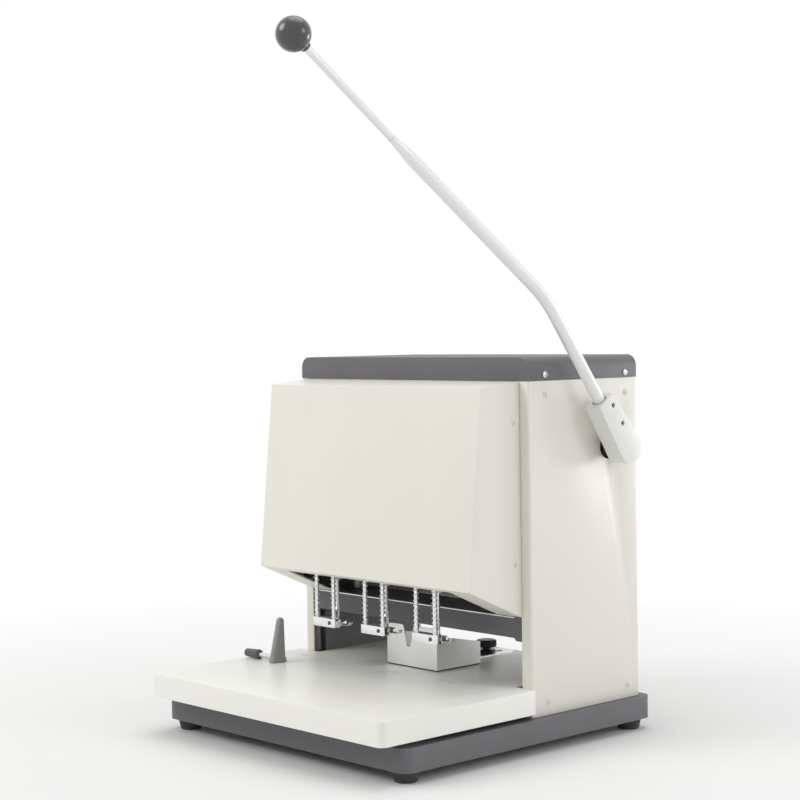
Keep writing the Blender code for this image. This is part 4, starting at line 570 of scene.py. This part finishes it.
def buildTable(t, p):
    past = layout.past
    shell = plate([tableOutline(t, 0, t.corner)], "z", t.low - t.edge, t.high - t.low + t.edge)
    inner = tableOutline(t, t.sheet, t.corner - t.sheet)
    inner = plate([inner], "z", t.low - past, t.high - t.low - t.sheet + past)
    shell = carved(rounded(shell, t.edge, 5), below(t.low), inner)
    low, high = t.high - t.sheet - past, t.high + past
    for side in layout.units.values():
        x, y = side * layout.spindleSpacing, layout.spindleY
        shell = carved(shell, rod(p.radius + layout.gap, (x, y, low), (x, y, high), 64))
    half, thin = t.slotLength / 2, t.slotWidth / 2
    slot = roundRect(t.slotX - half, t.slotX + half, t.slotY - thin, t.slotY + thin, thin * 0.98, 6)
    stud = rod(t.studRadius, (t.studX, t.studY, low), (t.studX, t.studY, high), 32)
    shell = carved(shell, plate([slot], "z", low, high - low), stud)
    piece("tablePan", shell, "table", "table")


def buildPads(t, p):
    under, chamfer, depth = -t.sheet - layout.gap, p.chamfer, -p.drilledDepth
    first, middle, last = (p.radius * share for share in p.groove)
    profile = [
        (0, depth), (p.drilled * 0.8, depth), (p.drilled, 0), (first, 0), (middle, -p.grooveDepth),
        (last, 0), (p.radius - chamfer, 0), (p.radius, -chamfer), (p.radius, under),
        (p.flange, under), (p.flange, under - p.flangeHeight), (0, under - p.flangeHeight),
    ]
    for word, side in layout.units.items():
        start = (side * layout.spindleSpacing, layout.spindleY, t.high)
        piece(word + "CuttingPad", lathe(profile, start), "pad", "cutting_pad_" + word)


tableAndPad = Values(**tableTop), Values(**pad)
buildTable(*tableAndPad)
buildPads(*tableAndPad)
print("table and pads made")

# column: panels, cap, rear cover

column = {
    "half": 0.1787, "frontY": 0.003, "rearY": 0.1718, "low": 0.0363, "high": 0.3799, "sheet": 0.002,
    "frontFlange": 0.0132, "rearFlange": 0.015, "bend": 0.0028,
    "shaftHole": 0.013, "edge": 0.00025, "rearScrewsX": 0.1547, "rearScrewsZ": (0.05, 0.25, 0.355),
    "screws": [(0.028, 0.366), (0.153, 0.364), (0.028, 0.05), (0.153, 0.05)],
}
cap = {
    "low": 0.3802, "high": 0.4044, "wall": 0.0025, "edge": 0.0016, "round": 0.012,
    "screws": [(0.028, 0.3862), (0.1535, 0.3854)],
}


def buildPanels(c):
    front, rear, half, sheet, bend = c.frontY, c.rearY, c.half, c.sheet, c.bend
    inner = bend - sheet
    section = [(half - c.frontFlange, front)]
    section += arc((half - bend, front + bend), bend, 270, 360, 9)
    section += arc((half - bend, rear - bend), bend, 0, 90, 9)
    section += [(half - c.rearFlange, rear), (half - c.rearFlange, rear - sheet)]
    section += arc((half - bend, rear - bend), inner, 90, 0, 5)
    section += arc((half - bend, front + bend), inner, 360, 270, 5)
    section += [(half - c.frontFlange, front + sheet)]
    for side, word in sides:
        outline = [(side * x, y) for x, y in section]
        panel = plate([outline], "z", c.low, c.high - c.low)
        if word == "right":
            ends = [(half + reach, *layout.shaft) for reach in (-0.01, 0.01)]
            panel = carved(panel, rod(c.shaftHole, *ends, 64))
        panel = rounded(panel, c.edge, 2, 50)
        piece(word + "SidePanel", panel, "cream", "side_panel_" + word)
        addSideScrews(word + "PanelScrews", side, half, c.screws, "paintedScrew", 0.0032, 0.0014)


def capOutline(half, low, high, radius):
    # the cap seen from the front, rounded over at its top left and right
    points = [(-half, low), (half, low)]
    points += arc((half - radius, high - radius), radius, 0, 90, 13)
    points += arc((radius - half, high - radius), radius, 90, 180, 13)
    return points


def buildCap(c, k):
    half, front, depth, edge = c.half, c.frontY, c.rearY - c.frontY, k.edge
    shell = plate([capOutline(half, k.low - 2 * edge, k.high, k.round)], "y", front, depth)
    wall = k.wall
    inside = capOutline(half - wall, k.low - layout.past, k.high - wall, k.round - wall)
    inside = plate([inside], "y", front + wall, depth - 2 * wall)
    shell = carved(rounded(shell, edge, 4), below(k.low), inside)
    piece("columnCap", shell, "dark", "top_cap")
    for side, word in sides:
        addSideScrews(word + "CapScrews", side, half, k.screws, "screw", 0.0034, 0.0018)


def buildRearScrews(c):
    face = nodeBox("rear_cover")[1].y
    places = [(side * c.rearScrewsX, face, z) for side, word in sides for z in c.rearScrewsZ]
    addScrews("rearCoverScrews", places, (0, 1, 0), "paintedScrew", 0.0032, 0.0014)


columnValues = Values(**column)
buildPanels(columnValues)
buildCap(columnValues, Values(**cap))
buildRearScrews(columnValues)
print("column made")

# head cover

head = {
    "half": 0.1663, "sheet": 0.0015, "frontBottom": (-0.0727, 0.1715), "frontTop": (-0.0522, 0.375),
    "rearTop": 0.3799, "rearBottom": 0.1384, "rearY": 0.0027, "edge": 0.0042,
    "flange": 0.036, "lip": 0.008, "lap": 0.008, "screws": [(-0.0065, 0.3376), (-0.0065, 0.1928)],
}


def buildHead(h):
    past = h.rearY + h.lap
    outline = [h.frontBottom, (h.rearY, h.rearBottom), (past, h.rearBottom),
               (past, h.rearTop), (h.rearY, h.rearTop), h.frontTop]
    shell = rounded(plate([outline], "x", -h.half, 2 * h.half), h.edge, 7)
    far, more = layout.far, layout.past
    behind = box((-far, h.rearY, 0), (far, far, far))
    cavity = plate([inset(outline, h.sheet)], "x", -h.half + h.sheet, 2 * (h.half - h.sheet))
    cavity = rounded(cavity, h.edge - h.sheet, 5)
    mouth = h.half - h.flange
    mouth = box((-mouth, h.frontBottom[0] + h.lip, h.rearBottom - more),
                (mouth, h.rearY + more, h.frontBottom[1] + h.lip))
    shell = carved(shell, behind, cavity, mouth)
    piece("headShell", shell, "cream", "head_cover")
    for side, word in sides:
        addSideScrews(word + "HeadScrews", side, h.half, h.screws, "paintedScrew", 0.0028, 0.0012)


buildHead(Values(**head))
print("head made")

# inner frame

innerFrame = {
    "guideRadius": 0.01, "guideX": 0.128, "guideY": 0.042, "guideLow": 0.1381, "guideHigh": 0.3637,
    "guideEdge": 0.001, "trimLow": (-0.1764, 0.0055, 0.0661), "trimHigh": (-0.1572, 0.0075, 0.137),
    "stripHalf": 0.1545, "stripProud": 0.00012, "stripDepth": 0.0004, "stripTop": 0.0003,
    "stripLow": 0.0013, "trimEdge": 0.0004,
}


def buildInnerFrame(g):
    r, length, edge = g.guideRadius, g.guideHigh - g.guideLow, g.guideEdge
    profile = [(0, length), (r - edge, length), (r, length - edge),
               (r, edge), (r - edge, 0), (0, 0)]
    for side, word in sides:
        start = (side * g.guideX, g.guideY, g.guideLow)
        piece(word + "GuideColumn", lathe(profile, start), "oiledSteel",
              "guide_column_" + word, slot="chrome")
    # the dark strip that closes the gap between the left panel's flange and its frame plate; its
    # dark colour is painted shade, standing in for the shadow inside the throat
    trim = rounded(box(g.trimLow, g.trimHigh), g.trimEdge, 2)
    piece("leftThroatShadeStrip", trim, "trim", slot="dark")
    # a bright steel strip along the lower crossbar's top front edge: a painted highlight where the
    # edge catches the light
    low, high = nodeBox("lower_crossbar")
    strip = box((-g.stripHalf, low.y - g.stripProud, high.z - g.stripLow),
                (g.stripHalf, low.y + g.stripDepth, high.z - g.stripTop))
    piece("crossbarHighlightStrip", strip, "steel", slot="steel")


buildInnerFrame(Values(**innerFrame))
dress("frameGrey", "frame_plate_left", "frame_plate_right", "lower_crossbar", "upper_crossbar")
dress("creamInside", "rear_cover")
print("inner frame made")

# lever

lever = {
    "x": 0.2001, "hubThickness": 0.02, "boss": 0.017, "neck": 0.0125,
    "hubLength": 0.063, "hubEdge": 0.0032, "lower": radians(53.0), "upper": radians(35.53),
    "tip": radians(36.2), "lowerLength": 0.1951, "upperLength": 0.2551, "tipLength": 0.1422,
    "bend": 0.15, "tube": 0.00635, "taper": 0.034, "rod": 0.0039, "ball": 0.0162, "collar": 0.0052,
    "socket": 0.033, "flare": 0.003, "play": 0.0003, "shaftRadius": 0.0083, "shaftDepth": 0.016,
    "setScrews": [(0.0524, 0.0053), (0.0282, 0.0056)], "setRadius": 0.0024, "setHole": 0.0026,
    "setDepth": 0.0035, "setSeat": 0.0002, "rodShare": 0.96, "rodDepth": 0.012, "rodEnd": 0.0097,
    "ballRise": 0.002, "bushLeft": 0.156, "bushRadius": 0.0105, "bushBore": 0.00835,
}


def wayOf(angle):
    return Vector((0, -cos(angle), sin(angle)))


def buildLever(v):
    shaft = Vector((v.x, *layout.shaft))
    low, up, tip = wayOf(v.lower), wayOf(v.upper), wayOf(v.tip)
    bendAt = shaft + low * v.lowerLength
    tubeEnd = bendAt + up * v.upperLength
    ballAt = tubeEnd + tip * v.tipLength
    # hub
    along, centre = Vector((low.y, low.z)), Vector((shaft.y, shaft.z))
    across = Vector((along.y, -along.x))
    lean = asin((v.boss - v.neck) / v.hubLength)
    outline = []
    for i in range(25):
        angle = -pi / 2 + lean + (pi - 2 * lean) * i / 24
        outline.append(tuple(centre + v.boss * (across * sin(angle) - along * cos(angle))))
    end = centre + along * v.hubLength
    outline += [tuple(end + across * v.neck), tuple(end - across * v.neck)]
    left = v.x - v.hubThickness / 2
    hub = rounded(plate([outline], "x", left, v.hubThickness), v.hubEdge, 6)
    past = layout.past
    shaftEnds = [(left + reach, shaft.y, shaft.z) for reach in (-0.01, v.shaftDepth)]
    socket, flare, mouth = (shaft + low * (v.hubLength - depth)
                            for depth in (v.socket, v.flare, -past))
    hub = carved(hub, rod(v.shaftRadius, *shaftEnds), rod(v.tube + 2 * v.play, socket, mouth),
                 rod(v.tube + v.flare / 2, flare, mouth))
    right = v.x + v.hubThickness / 2
    spots = [centre + along * distance + across * aside for distance, aside in v.setScrews]
    for spot in spots:
        hub = carved(hub, rod(v.setHole, (right - v.setDepth, *spot), (right + past, *spot), 32))
    piece("leverHub", hub, "hub", "lever_hub", "lever")
    places = [(right - v.setDepth + v.setSeat, *spot) for spot in spots]
    addScrews("hubSetScrews", places, (1, 0, 0), "brownScrew", v.setRadius, 0.0016, "lever", True)
    # tube: out of the socket, round the bend, on to its tapered end
    turn = v.lower - v.upper
    cut = v.bend * tan(turn / 2)
    centreOfBend = bendAt - low * cut + Vector((0, low.z, -low.y)) * -v.bend
    path = [socket + low * v.play]
    for i in range(17):
        angle = v.lower - turn * i / 16
        path.append(centreOfBend + Vector((0, sin(angle), cos(angle))) * v.bend)
    shares = [1.0] * len(path)
    for i in range(9):
        t = i / 8
        path.append(tubeEnd - up * v.taper * (1 - t))
        shares.append(1.0 + (v.rod / v.tube - 1.0) * (3 * t * t - 2 * t * t * t))
    piece("leverTube", tube(path, v.tube, 48, shares), "lever", "lever_tube", "lever", "hub")
    # rod
    start, stop = tubeEnd + tip * v.play, ballAt - tip * (v.ball - v.rodEnd)
    thin = rod(v.rod * v.rodShare, start, stop, 40)
    piece("leverRod", thin, "leverRod", "lever_rod", "lever", "chrome")
    # ball with its collar
    middle = v.ball + v.ballRise
    sweep = pi - asin(v.collar / v.ball)
    profile = [(0, middle + v.ball)]
    profile += [(v.ball * sin(a), middle + v.ball * cos(a))
                for a in (sweep * i / 30 for i in range(1, 31))]
    bore = v.rod + v.play
    profile += [(v.collar, 2 * v.play), (v.collar - 2 * v.play, 0), (bore, 0), (bore, v.rodDepth),
                (0, v.rodDepth)]
    ball = lathe(profile, ballAt - tip * middle, tip)
    piece("leverBall", ball, "ball", "lever_knob", "lever")
    # bush round the shaft, between the frame and the hub
    length = left - v.play - v.bushLeft
    profile = [(v.bushRadius, length), (v.bushRadius, 0), (v.bushBore, 0), (v.bushBore, length)]
    bush = lathe(profile, (v.bushLeft, shaft.y, shaft.z), (1, 0, 0), closed=True)
    piece("shaftBush", bush, "black", "lever_bush")


buildLever(Values(**lever))
dress("turnedSteel", "lever_shaft")
print("lever made")

# carriage and drive

dress("casting", "spindle_carriage")
dress("black", "drive_motor")
dress("turnedSteel", "feed_rack", "motor_pinion", "idler_gear_left", "idler_gear_right",
      *("geared_spindle_" + word for word in layout.units))

returnSpring = {
    "x": 0.076, "y": 0.042, "low": 0.2063, "high": 0.3637, "radius": 0.0062, "wire": 0.0007,
    "turns": 30,
}


def coil(radius, wire, length, turns, perTurn=20, closedTurns=0.75, corners=10):
    # a spring along z whose end turns lie close together
    points = []
    tight = wire * 2.15
    middle = turns - 2 * closedTurns
    pitch = (length - 2 * wire - 2 * closedTurns * tight) / middle
    for i in range(int(turns * perTurn) + 1):
        t = i / perTurn
        z = tight * t + (pitch - tight) * min(max(t - closedTurns, 0), middle)
        angle = 2 * pi * t
        points.append((radius * cos(angle), radius * sin(angle), wire + z))
    return tube(points, wire, corners)


def buildReturnSpring(s):
    mesh = coil(s.radius, s.wire, s.high - s.low, s.turns, corners=8)
    mesh.transform(Matrix.Translation((s.x, s.y, s.low)))
    piece("returnSpring", mesh, "turnedSteel", "return_spring", "carriage", "steel")


buildReturnSpring(Values(**returnSpring))
print("carriage dressed")

# presser feet, stirrups, springs, bits

presser = {
    "low": 0.1097, "frontY": -0.0551, "depth": 0.01, "height": 0.0095, "half": 0.0185,
    "corner": 0.0022, "edge": 0.0008, "plate": 0.004, "padRadius": 0.01, "hole": 0.0034,
    "screwX": 0.0107, "screwRadius": 0.0027, "screwDepth": 0.0015, "tongueReach": 0.0265,
    "tongueRise": 0.0046, "tongueSheet": 0.0012, "tongueWidth": 0.005, "tongueY": -0.0405,
    "leftRod": -0.0155, "rightRod": 0.0125, "rodRadius": 0.002, "rodDepth": 0.006,
    "rodGap": 0.0003, "bridgeLow": 0.1923, "bridgeHeight": 0.005, "bridgeHalf": 0.0034,
    "bridgePast": 0.0035, "springRadius": 0.00255, "springWire": 0.00062, "springTurns": 10.5,
    "springLow": 0.1195, "springHigh": 0.1697, "stroke": 0.012, "lugEdge": 0.0005,
    "bridgeEdge": 0.0006, "seat": 0.0001, "holeDepth": 0.02,
}
bit = {
    "tip": 0.11, "radius": 0.0026, "shank": 0.0032, "top": 0.1747, "shankLength": 0.016,
    "bore": 0.0015, "step": 0.0012, "lip": 0.0003,
}


def buildPresser(p, word, side):
    x, y = side * layout.spindleSpacing, layout.spindleY
    past = layout.past
    body = "presser_" + word
    rear = p.frontY + p.depth
    rodY = p.frontY + p.depth / 2
    top, level = p.low + p.height, p.low + p.height / 2
    # foot: a bar, the pad round the drill and a tongue at its right
    outline = roundRect(x - p.half, x + p.half, p.frontY, rear, p.corner, 6)
    bar = rounded(plate([outline], "z", p.low, p.height), p.edge, 3)
    lug = arc((x, y), p.padRadius, 0, 180, 25)
    outline = [(x - p.padRadius, rear - past), (x + p.padRadius, rear - past), *lug]
    lug = rounded(plate([outline], "z", p.low + p.seat, p.plate), p.lugEdge, 2)
    low = p.low + p.plate / 4
    rise, sheet = p.tongueRise, p.tongueSheet
    centre = (x + p.tongueReach - rise, low + rise + sheet)
    outer, inner = arc(centre, rise + sheet, 270, 345, 12), arc(centre, rise, 345, 270, 12)
    outline = [(x + p.padRadius / 2, low), *outer, *inner, (x + p.padRadius / 2, low + sheet)]
    bar = joined(bar, lug, plate([outline], "y", p.tongueY, p.tongueWidth))
    cuts = [rod(p.hole, (x, y, p.low - past), (x, y, p.low + p.holeDepth), 40)]
    for rodX in (p.leftRod, p.rightRod):
        start = (x + rodX, rodY, top - p.rodDepth - p.rodGap)
        cuts.append(rod(p.rodRadius + p.rodGap, start, (x + rodX, rodY, top + past), 24))
    ends = [(x + p.screwX, p.frontY + reach, level) for reach in (-past, p.screwDepth)]
    cuts.append(rod(p.screwRadius, *ends, 28))
    bar = carved(bar, *cuts)
    piece(word + "PresserFoot", bar, "chrome", "presser_foot_" + word, body)
    seat = (x + p.screwX, p.frontY + p.screwDepth - p.seat, level)
    addScrews(word + "PresserSetScrew", [seat], (0, -1, 0), "brownScrew", p.screwRadius * 0.86,
              0.001, body, True)
    # stirrup
    front = (x + p.leftRod - p.bridgePast, rodY - p.bridgeHalf, p.bridgeLow)
    back = (x + p.rightRod + p.bridgePast, rodY + p.bridgeHalf, p.bridgeLow + p.bridgeHeight)
    stirrup = rounded(box(front, back), p.bridgeEdge, 2)
    for rodX in (p.leftRod, p.rightRod):
        start = (x + rodX, rodY, top - p.rodDepth)
        end = (x + rodX, rodY, p.bridgeLow + p.bridgeHeight / 2)
        stirrup = joined(stirrup, rod(p.rodRadius, start, end, 28))
    piece(word + "Stirrup", stirrup, "chrome", "guide_stirrup_" + word, body)
    # springs: their feet ride on the presser, and each has a mesh of its own
    length = p.springHigh - p.springLow
    for rodX, end in ((p.leftRod, "left"), (p.rightRod, "right")):
        start = (x + rodX, rodY, p.springLow)
        mesh = coil(p.springRadius, p.springWire, length, p.springTurns)
        mesh.transform(Matrix.Translation(start))
        spring = piece(word + end.title() + "Spring", mesh, "springWire",
                       "presser_spring_" + word + "_" + end, body, "chrome")
        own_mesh(spring)


def buildBit(b, word, side):
    height = b.top - b.tip
    neck = height - b.shankLength
    profile = [(b.shank, height), (b.shank, neck), (b.radius, neck - b.step), (b.radius, b.step),
               (b.bore + b.lip, 0), (b.bore, 2 * b.lip), (b.bore, height)]
    start = (side * layout.spindleSpacing, layout.spindleY, b.tip)
    drill = lathe(profile, start, closed=True, steps=40)
    piece(word + "DrillBit", drill, "chrome", "drill_bit_" + word, "spindle_" + word)


for word, side in layout.units.items():
    buildPresser(Values(**presser), word, side)
    buildBit(Values(**bit), word, side)
print("presser units made")

# back gauge and its knob

gauge = {
    "x": -0.002, "half": 0.0395, "frontY": 0.0049, "sheet": 0.002, "low": 0.066, "height": 0.0457,
    "corner": 0.007, "feltProud": 0.0003, "feltHeight": 0.0011, "notchX": -0.005, "notchTop": 0.008,
    "notchBottom": 0.0035, "notchDepth": 0.0235, "notchRound": 0.002, "gussetFront": 0.038,
    "gussetRear": 0.025, "gussetY": 0.071, "tailX": 0.002, "tailHalf": 0.012, "tailY": 0.15,
    "tailRound": 0.004, "slotHalf": 0.0036, "slotFront": 0.078, "slotRear": 0.142, "edge": 0.0004,
}
gaugeKnob = {
    "x": 0.002, "y": 0.1167, "seat": 0.0683, "stud": 0.003, "washer": 0.01, "washerHeight": 0.004,
    "edge": 0.0008, "neck": 0.0045, "neckHeight": 0.003, "radius": 0.0114, "height": 0.008,
    "ribs": 28, "ribDepth": 0.0007, "chamfer": 0.0011, "down": 0.0046,
}


def buildGauge(g):
    left, right, low = g.x - g.half, g.x + g.half, g.low
    high, sheet, corner = low + g.height, g.sheet, g.corner
    notch, small, lip = g.x + g.notchX, g.notchBottom, g.notchRound
    floor = high - g.notchDepth + small
    face = [(left, low), (right, low)]
    face += arc((right - corner, high - corner), corner, 0, 90, 10)
    face += arc((notch + g.notchTop + lip, high - lip), lip, 90, 165, 5)
    face += [(notch + small, floor), *arc((notch, floor), small, -15, -165, 12),
             (notch - small, floor)]
    face += arc((notch - g.notchTop - lip, high - lip), lip, 15, 90, 5)
    face += arc((left + corner, high - corner), corner, 90, 180, 10)
    inside = g.frontY + sheet / 2
    gusset = [(inside, low), (g.gussetY, low), (g.gussetY, low + g.gussetRear),
              (inside, low + g.gussetFront)]
    tailLeft, tailRight, bend = g.tailX - g.tailHalf, g.tailX + g.tailHalf, g.tailRound
    sole = [(left, inside), (right, inside), (right, g.gussetY), (tailRight, g.gussetY)]
    sole += arc((tailRight - bend, g.tailY - bend), bend, 0, 90, 6)
    sole += arc((tailLeft + bend, g.tailY - bend), bend, 90, 180, 6)
    sole += [(tailLeft, g.gussetY), (left, g.gussetY)]
    slot = roundRect(g.tailX - g.slotHalf, g.tailX + g.slotHalf, g.slotFront, g.slotRear,
                     g.slotHalf * 0.98, 8)
    gussets = [plate([gusset], "x", start, sheet) for start in (left, right - sheet)]
    body = joined(plate([face], "y", g.frontY, sheet), *gussets,
                  plate([sole, slot], "z", low, sheet))
    body = rounded(body, g.edge, 2, 50)
    piece("backGauge", body, "gaugePlate", "back_gauge", "back_gauge", "steel")
    # a dark strip round the gauge's foot: painted shadow for the gap under the gauge
    proud, top = g.feltProud, low + g.feltHeight
    front = g.frontY - proud
    felt = [box((left - proud, front, low), (right + proud, g.frontY + proud, top))]
    for start in (left - proud, right - proud):
        felt.append(box((start, front, low), (start + 2 * proud, g.gussetY, top)))
    piece("gaugeFootShadow", joined(*felt), "felt", body="back_gauge", slot="black")


def ribbedDisc(radius, height, ribs, depth, chamfer, taper=1.0):
    # a thumb disc with rounded ribs round its rim, standing on z = 0; taper narrows its foot
    outline = []
    for i in range(ribs * 6):
        angle = 2 * pi * i / (ribs * 6)
        size = radius - depth * (0.5 - 0.5 * cos(angle * ribs)) ** 1.6
        outline.append((size * cos(angle), size * sin(angle)))
    profile = [(0, height), (radius - chamfer * 2, height),
               (radius - chamfer * 0.6, height - chamfer * 0.4), (radius, height - chamfer),
               (radius * taper, chamfer), (radius * taper - chamfer, 0), (0, 0)]
    envelope = lathe(profile, (0, 0, 0), steps=96)
    return combined(plate([outline], "z", 0, height), [envelope], "INTERSECT")


def buildGaugeKnob(k):
    neckTop, edge = k.washerHeight + k.neckHeight, k.edge
    profile = [
        (0, neckTop + 0.001), (k.neck, neckTop + 0.001), (k.neck, k.washerHeight),
        (k.washer - edge, k.washerHeight), (k.washer, k.washerHeight - edge),
        (k.washer, edge / 2), (k.washer - edge / 2, 0), (k.stud, 0),
        (k.stud, -k.down), (0, -k.down),
    ]
    stem = lathe(profile, (k.x, k.y, k.seat))
    disc = ribbedDisc(k.radius, k.height, k.ribs, k.ribDepth, k.chamfer)
    disc.transform(Matrix.Translation((k.x, k.y, k.seat + neckTop)))
    piece("gaugeThumbKnob", joined(disc, stem), "black", "gauge_knob", "gauge_knob", smooth=40)


buildGauge(Values(**gauge))
buildGaugeKnob(Values(**gaugeKnob))
print("back gauge made")

# side guide and its knob

sideGuide = {
    "x": -0.138, "half": 0.005, "frontY": -0.0835, "rearY": -0.063, "topFrontY": -0.073,
    "topRearY": -0.065, "low": 0.066, "height": 0.0494, "foot": 0.005, "footStep": 0.0006,
    "footEdge": 0.0007, "topHalf": 0.0042, "tip": 0.004, "cornerPower": 3.0, "tipPower": 2.4,
    "thumbY": -0.0775, "thumbRadius": 0.0056, "thumbLength": 0.0245, "thumbLeft": -0.1885,
    "thumbTaper": 0.8, "thumbChamfer": 0.0014, "ribs": 22, "ribDepth": 0.0005, "stud": 0.0027,
    "studSeat": 0.005, "studPast": 0.002, "play": 0.0003,
}


def ovalRing(x, halfX, front, rear, z, power, count=56):
    # a level ring between front and rear, squarer the higher its power
    points, middle, halfY = [], (front + rear) / 2, (rear - front) / 2
    for i in range(count):
        across, along = (copysign(abs(share) ** (2 / power), share)
                         for share in (cos(2 * pi * i / count), sin(2 * pi * i / count)))
        points.append((x + halfX * across, middle + halfY * along, z))
    return points


def buildSideGuide(s):
    low, foot, step, edge = s.low, s.foot, s.footStep, s.footEdge
    rings = []
    for inwards, z in ((edge, 0), (edge / 4, edge / 4), (0, edge), (0, foot - 2 * edge),
                       (edge / 4, foot - edge), (step, foot - edge / 2)):
        rings.append(ovalRing(s.x, s.half - inwards, s.frontY + inwards, s.rearY - inwards, low + z,
                              s.cornerPower + 1))
    middle = s.height - s.tip
    # each value at the foot and at the top: half the width, front, rear and power
    spans = [(s.half - step, s.topHalf), (s.frontY + step, s.topFrontY),
             (s.rearY - step, s.topRearY), (s.cornerPower, s.tipPower)]
    for i in range(13):
        t = i / 12
        half, front, rear, power = (first * (1 - t) + last * t for first, last in spans)
        rings.append(ovalRing(s.x, half, front, rear, low + foot + (middle - foot) * t, power))
    centre, reach = (s.topFrontY + s.topRearY) / 2, (s.topRearY - s.topFrontY) / 2
    for i in range(1, 8):
        angle = radians(12 * i)
        size = cos(angle)
        rings.append(ovalRing(s.x, s.topHalf * size, centre - reach * size, centre + reach * size,
                              low + middle + s.tip * sin(angle), s.tipPower))
    left, level = s.x - s.half, low + s.thumbRadius
    ends = [(left + reach, s.thumbY, level) for reach in (-s.studPast, s.studSeat + s.play)]
    fin = carved(loft(rings), rod(s.stud + s.play, *ends, 32))
    piece("sideGuideFin", fin, "guide", "side_guide", "side_guide", smooth=60)
    length, end = left + s.studSeat - s.thumbLeft, s.thumbLength - s.studPast
    stud = lathe([(0, length), (s.stud, length), (s.stud, end), (0, end)], (0, 0, 0), steps=32)
    knob = ribbedDisc(s.thumbRadius, s.thumbLength, s.ribs, s.ribDepth, s.thumbChamfer,
                      s.thumbTaper)
    for mesh in (stud, knob):
        mesh.transform(facing((s.thumbLeft, s.thumbY, level), (1, 0, 0)))
    piece("sideGuideKnob", knob, "thumb", "side_guide_knob", "side_guide_knob", "guide", 40)
    piece("sideGuideStud", stud, "screw", body="side_guide_knob", slot="steel")


buildSideGuide(Values(**sideGuide))
dress("black", "power_module", "power_switch")
print("side guide made, power module dressed")

# stage, light and camera

stage = {
    "floorSize": 12.0, "floor": (0.88, 0.88, 0.875), "fadeFrom": 0.35, "fadeTo": 1.1, "world": 0.58,
    "lampsAim": (0, 0, 0.2),
}
view = {
    "place": (1.4635, -1.3603, 0.433), "azimuth": 47.28, "down": 2.14, "roll": 0.87, "lens": 83.1,
    "sensor": 36.0,
}
lamps = {
    "key": {"place": (-1.2, -2.1, 2.1), "size": 1.6, "power": 29.0, "colour": (1.0, 0.985, 0.96)},
    "fill": {"place": (2.5, 0.85, 1.3), "size": 1.1, "power": 9.0, "colour": (0.97, 0.985, 1.0)},
    "rear": {"place": (0.95, 2.0, 0.4), "size": 0.7, "power": 8.5, "colour": (1.0, 0.99, 0.97)},
    "top": {"place": (0.1, 0.3, 2.6), "size": 2.0, "power": 15.0, "colour": (1.0, 1.0, 1.0)},
}


def seenRay(tree):
    # 1 for a camera, glossy or transmission ray
    path = node(tree, "LightPath").outputs
    found = path["Is Camera Ray"]
    for name in ("Is Glossy Ray", "Is Transmission Ray"):
        found = node(tree, "Math", {0: found, 1: path[name]}, operation="MAXIMUM").outputs[0]
    return found


def mixShaders(tree, output, share, first, second):
    mix = node(tree, "MixShader", {"Fac": share, 1: first.outputs[0], 2: second.outputs[0]})
    tree.links.new(mix.outputs[0], output.inputs["Surface"])


def floorMaterial(s):
    # plain pale paint near the machine, which carries its shadow, and white further out
    material = surface("paleFloor", s.floor, 0.75, 0.05, tone=0.99, toneScale=1.5,
                       grain=(40, 0.05, 5e-5), specular=0.2)
    tree = material.node_tree
    place = node(tree, "TexCoord").outputs["Object"]
    distance = node(tree, "VectorMath", {0: place}, operation="LENGTH").outputs["Value"]
    far = valueRange(tree, distance, 0.0, 1.0, s.fadeFrom, s.fadeTo)
    share = node(tree, "Math", {0: far, 1: seenRay(tree)}, operation="MULTIPLY").outputs[0]
    paint, white = tree.nodes["Principled BSDF"], node(tree, "Emission")
    mixShaders(tree, tree.nodes["Material Output"], share, paint, white)
    return material


def buildStage(s):
    shape = bmesh.new()
    bmesh.ops.create_grid(shape, x_segments=2, y_segments=2, size=s.floorSize / 2)
    floor = added("studioFloor", meshFrom(shape))
    floor.data.materials.append(floorMaterial(s))
    world = bpy.data.worlds.new("paleStudio")
    bpy.context.scene.world = world
    world.use_nodes = True
    tree = world.node_tree
    tree.nodes.clear()
    white = (1, 1, 1, 1)
    light = node(tree, "Background", {"Color": white, "Strength": s.world})
    seen = node(tree, "Background", {"Color": white, "Strength": 1.0})
    mixShaders(tree, node(tree, "OutputWorld"), seenRay(tree), light, seen)


def buildLamps(lampValues):
    for name, lamp in lampValues.items():
        data = bpy.data.lights.new(name, "AREA")
        data.shape, data.size = "DISK", lamp["size"]
        data.energy, data.color = lamp["power"], lamp["colour"]
        made = added(name + "Lamp", data)
        made.location = at(*lamp["place"])
        aim = at(*stage["lampsAim"]) - made.location
        made.rotation_euler = aim.to_track_quat("-Z", "Y").to_euler()


def buildCamera(v):
    data = bpy.data.cameras.new("photoCamera")
    data.lens = v.lens
    data.sensor_width = v.sensor
    made = added("photoCamera", data)
    turn, down = radians(v.azimuth), radians(v.down)
    way = Vector((-sin(turn) * cos(down), cos(turn) * cos(down), -sin(down)))
    roll = Matrix.Rotation(-radians(v.roll), 4, "Z")
    matrix = way.to_track_quat("-Z", "Y").to_matrix().to_4x4() @ roll
    matrix.translation = at(*v.place)
    made.matrix_world = matrix
    bpy.context.scene.camera = made


buildStage(Values(**stage))
buildLamps(lamps)
buildCamera(Values(**view))
bpy.context.scene.view_settings.view_transform = "Standard"
print("stage, lamps and camera made")
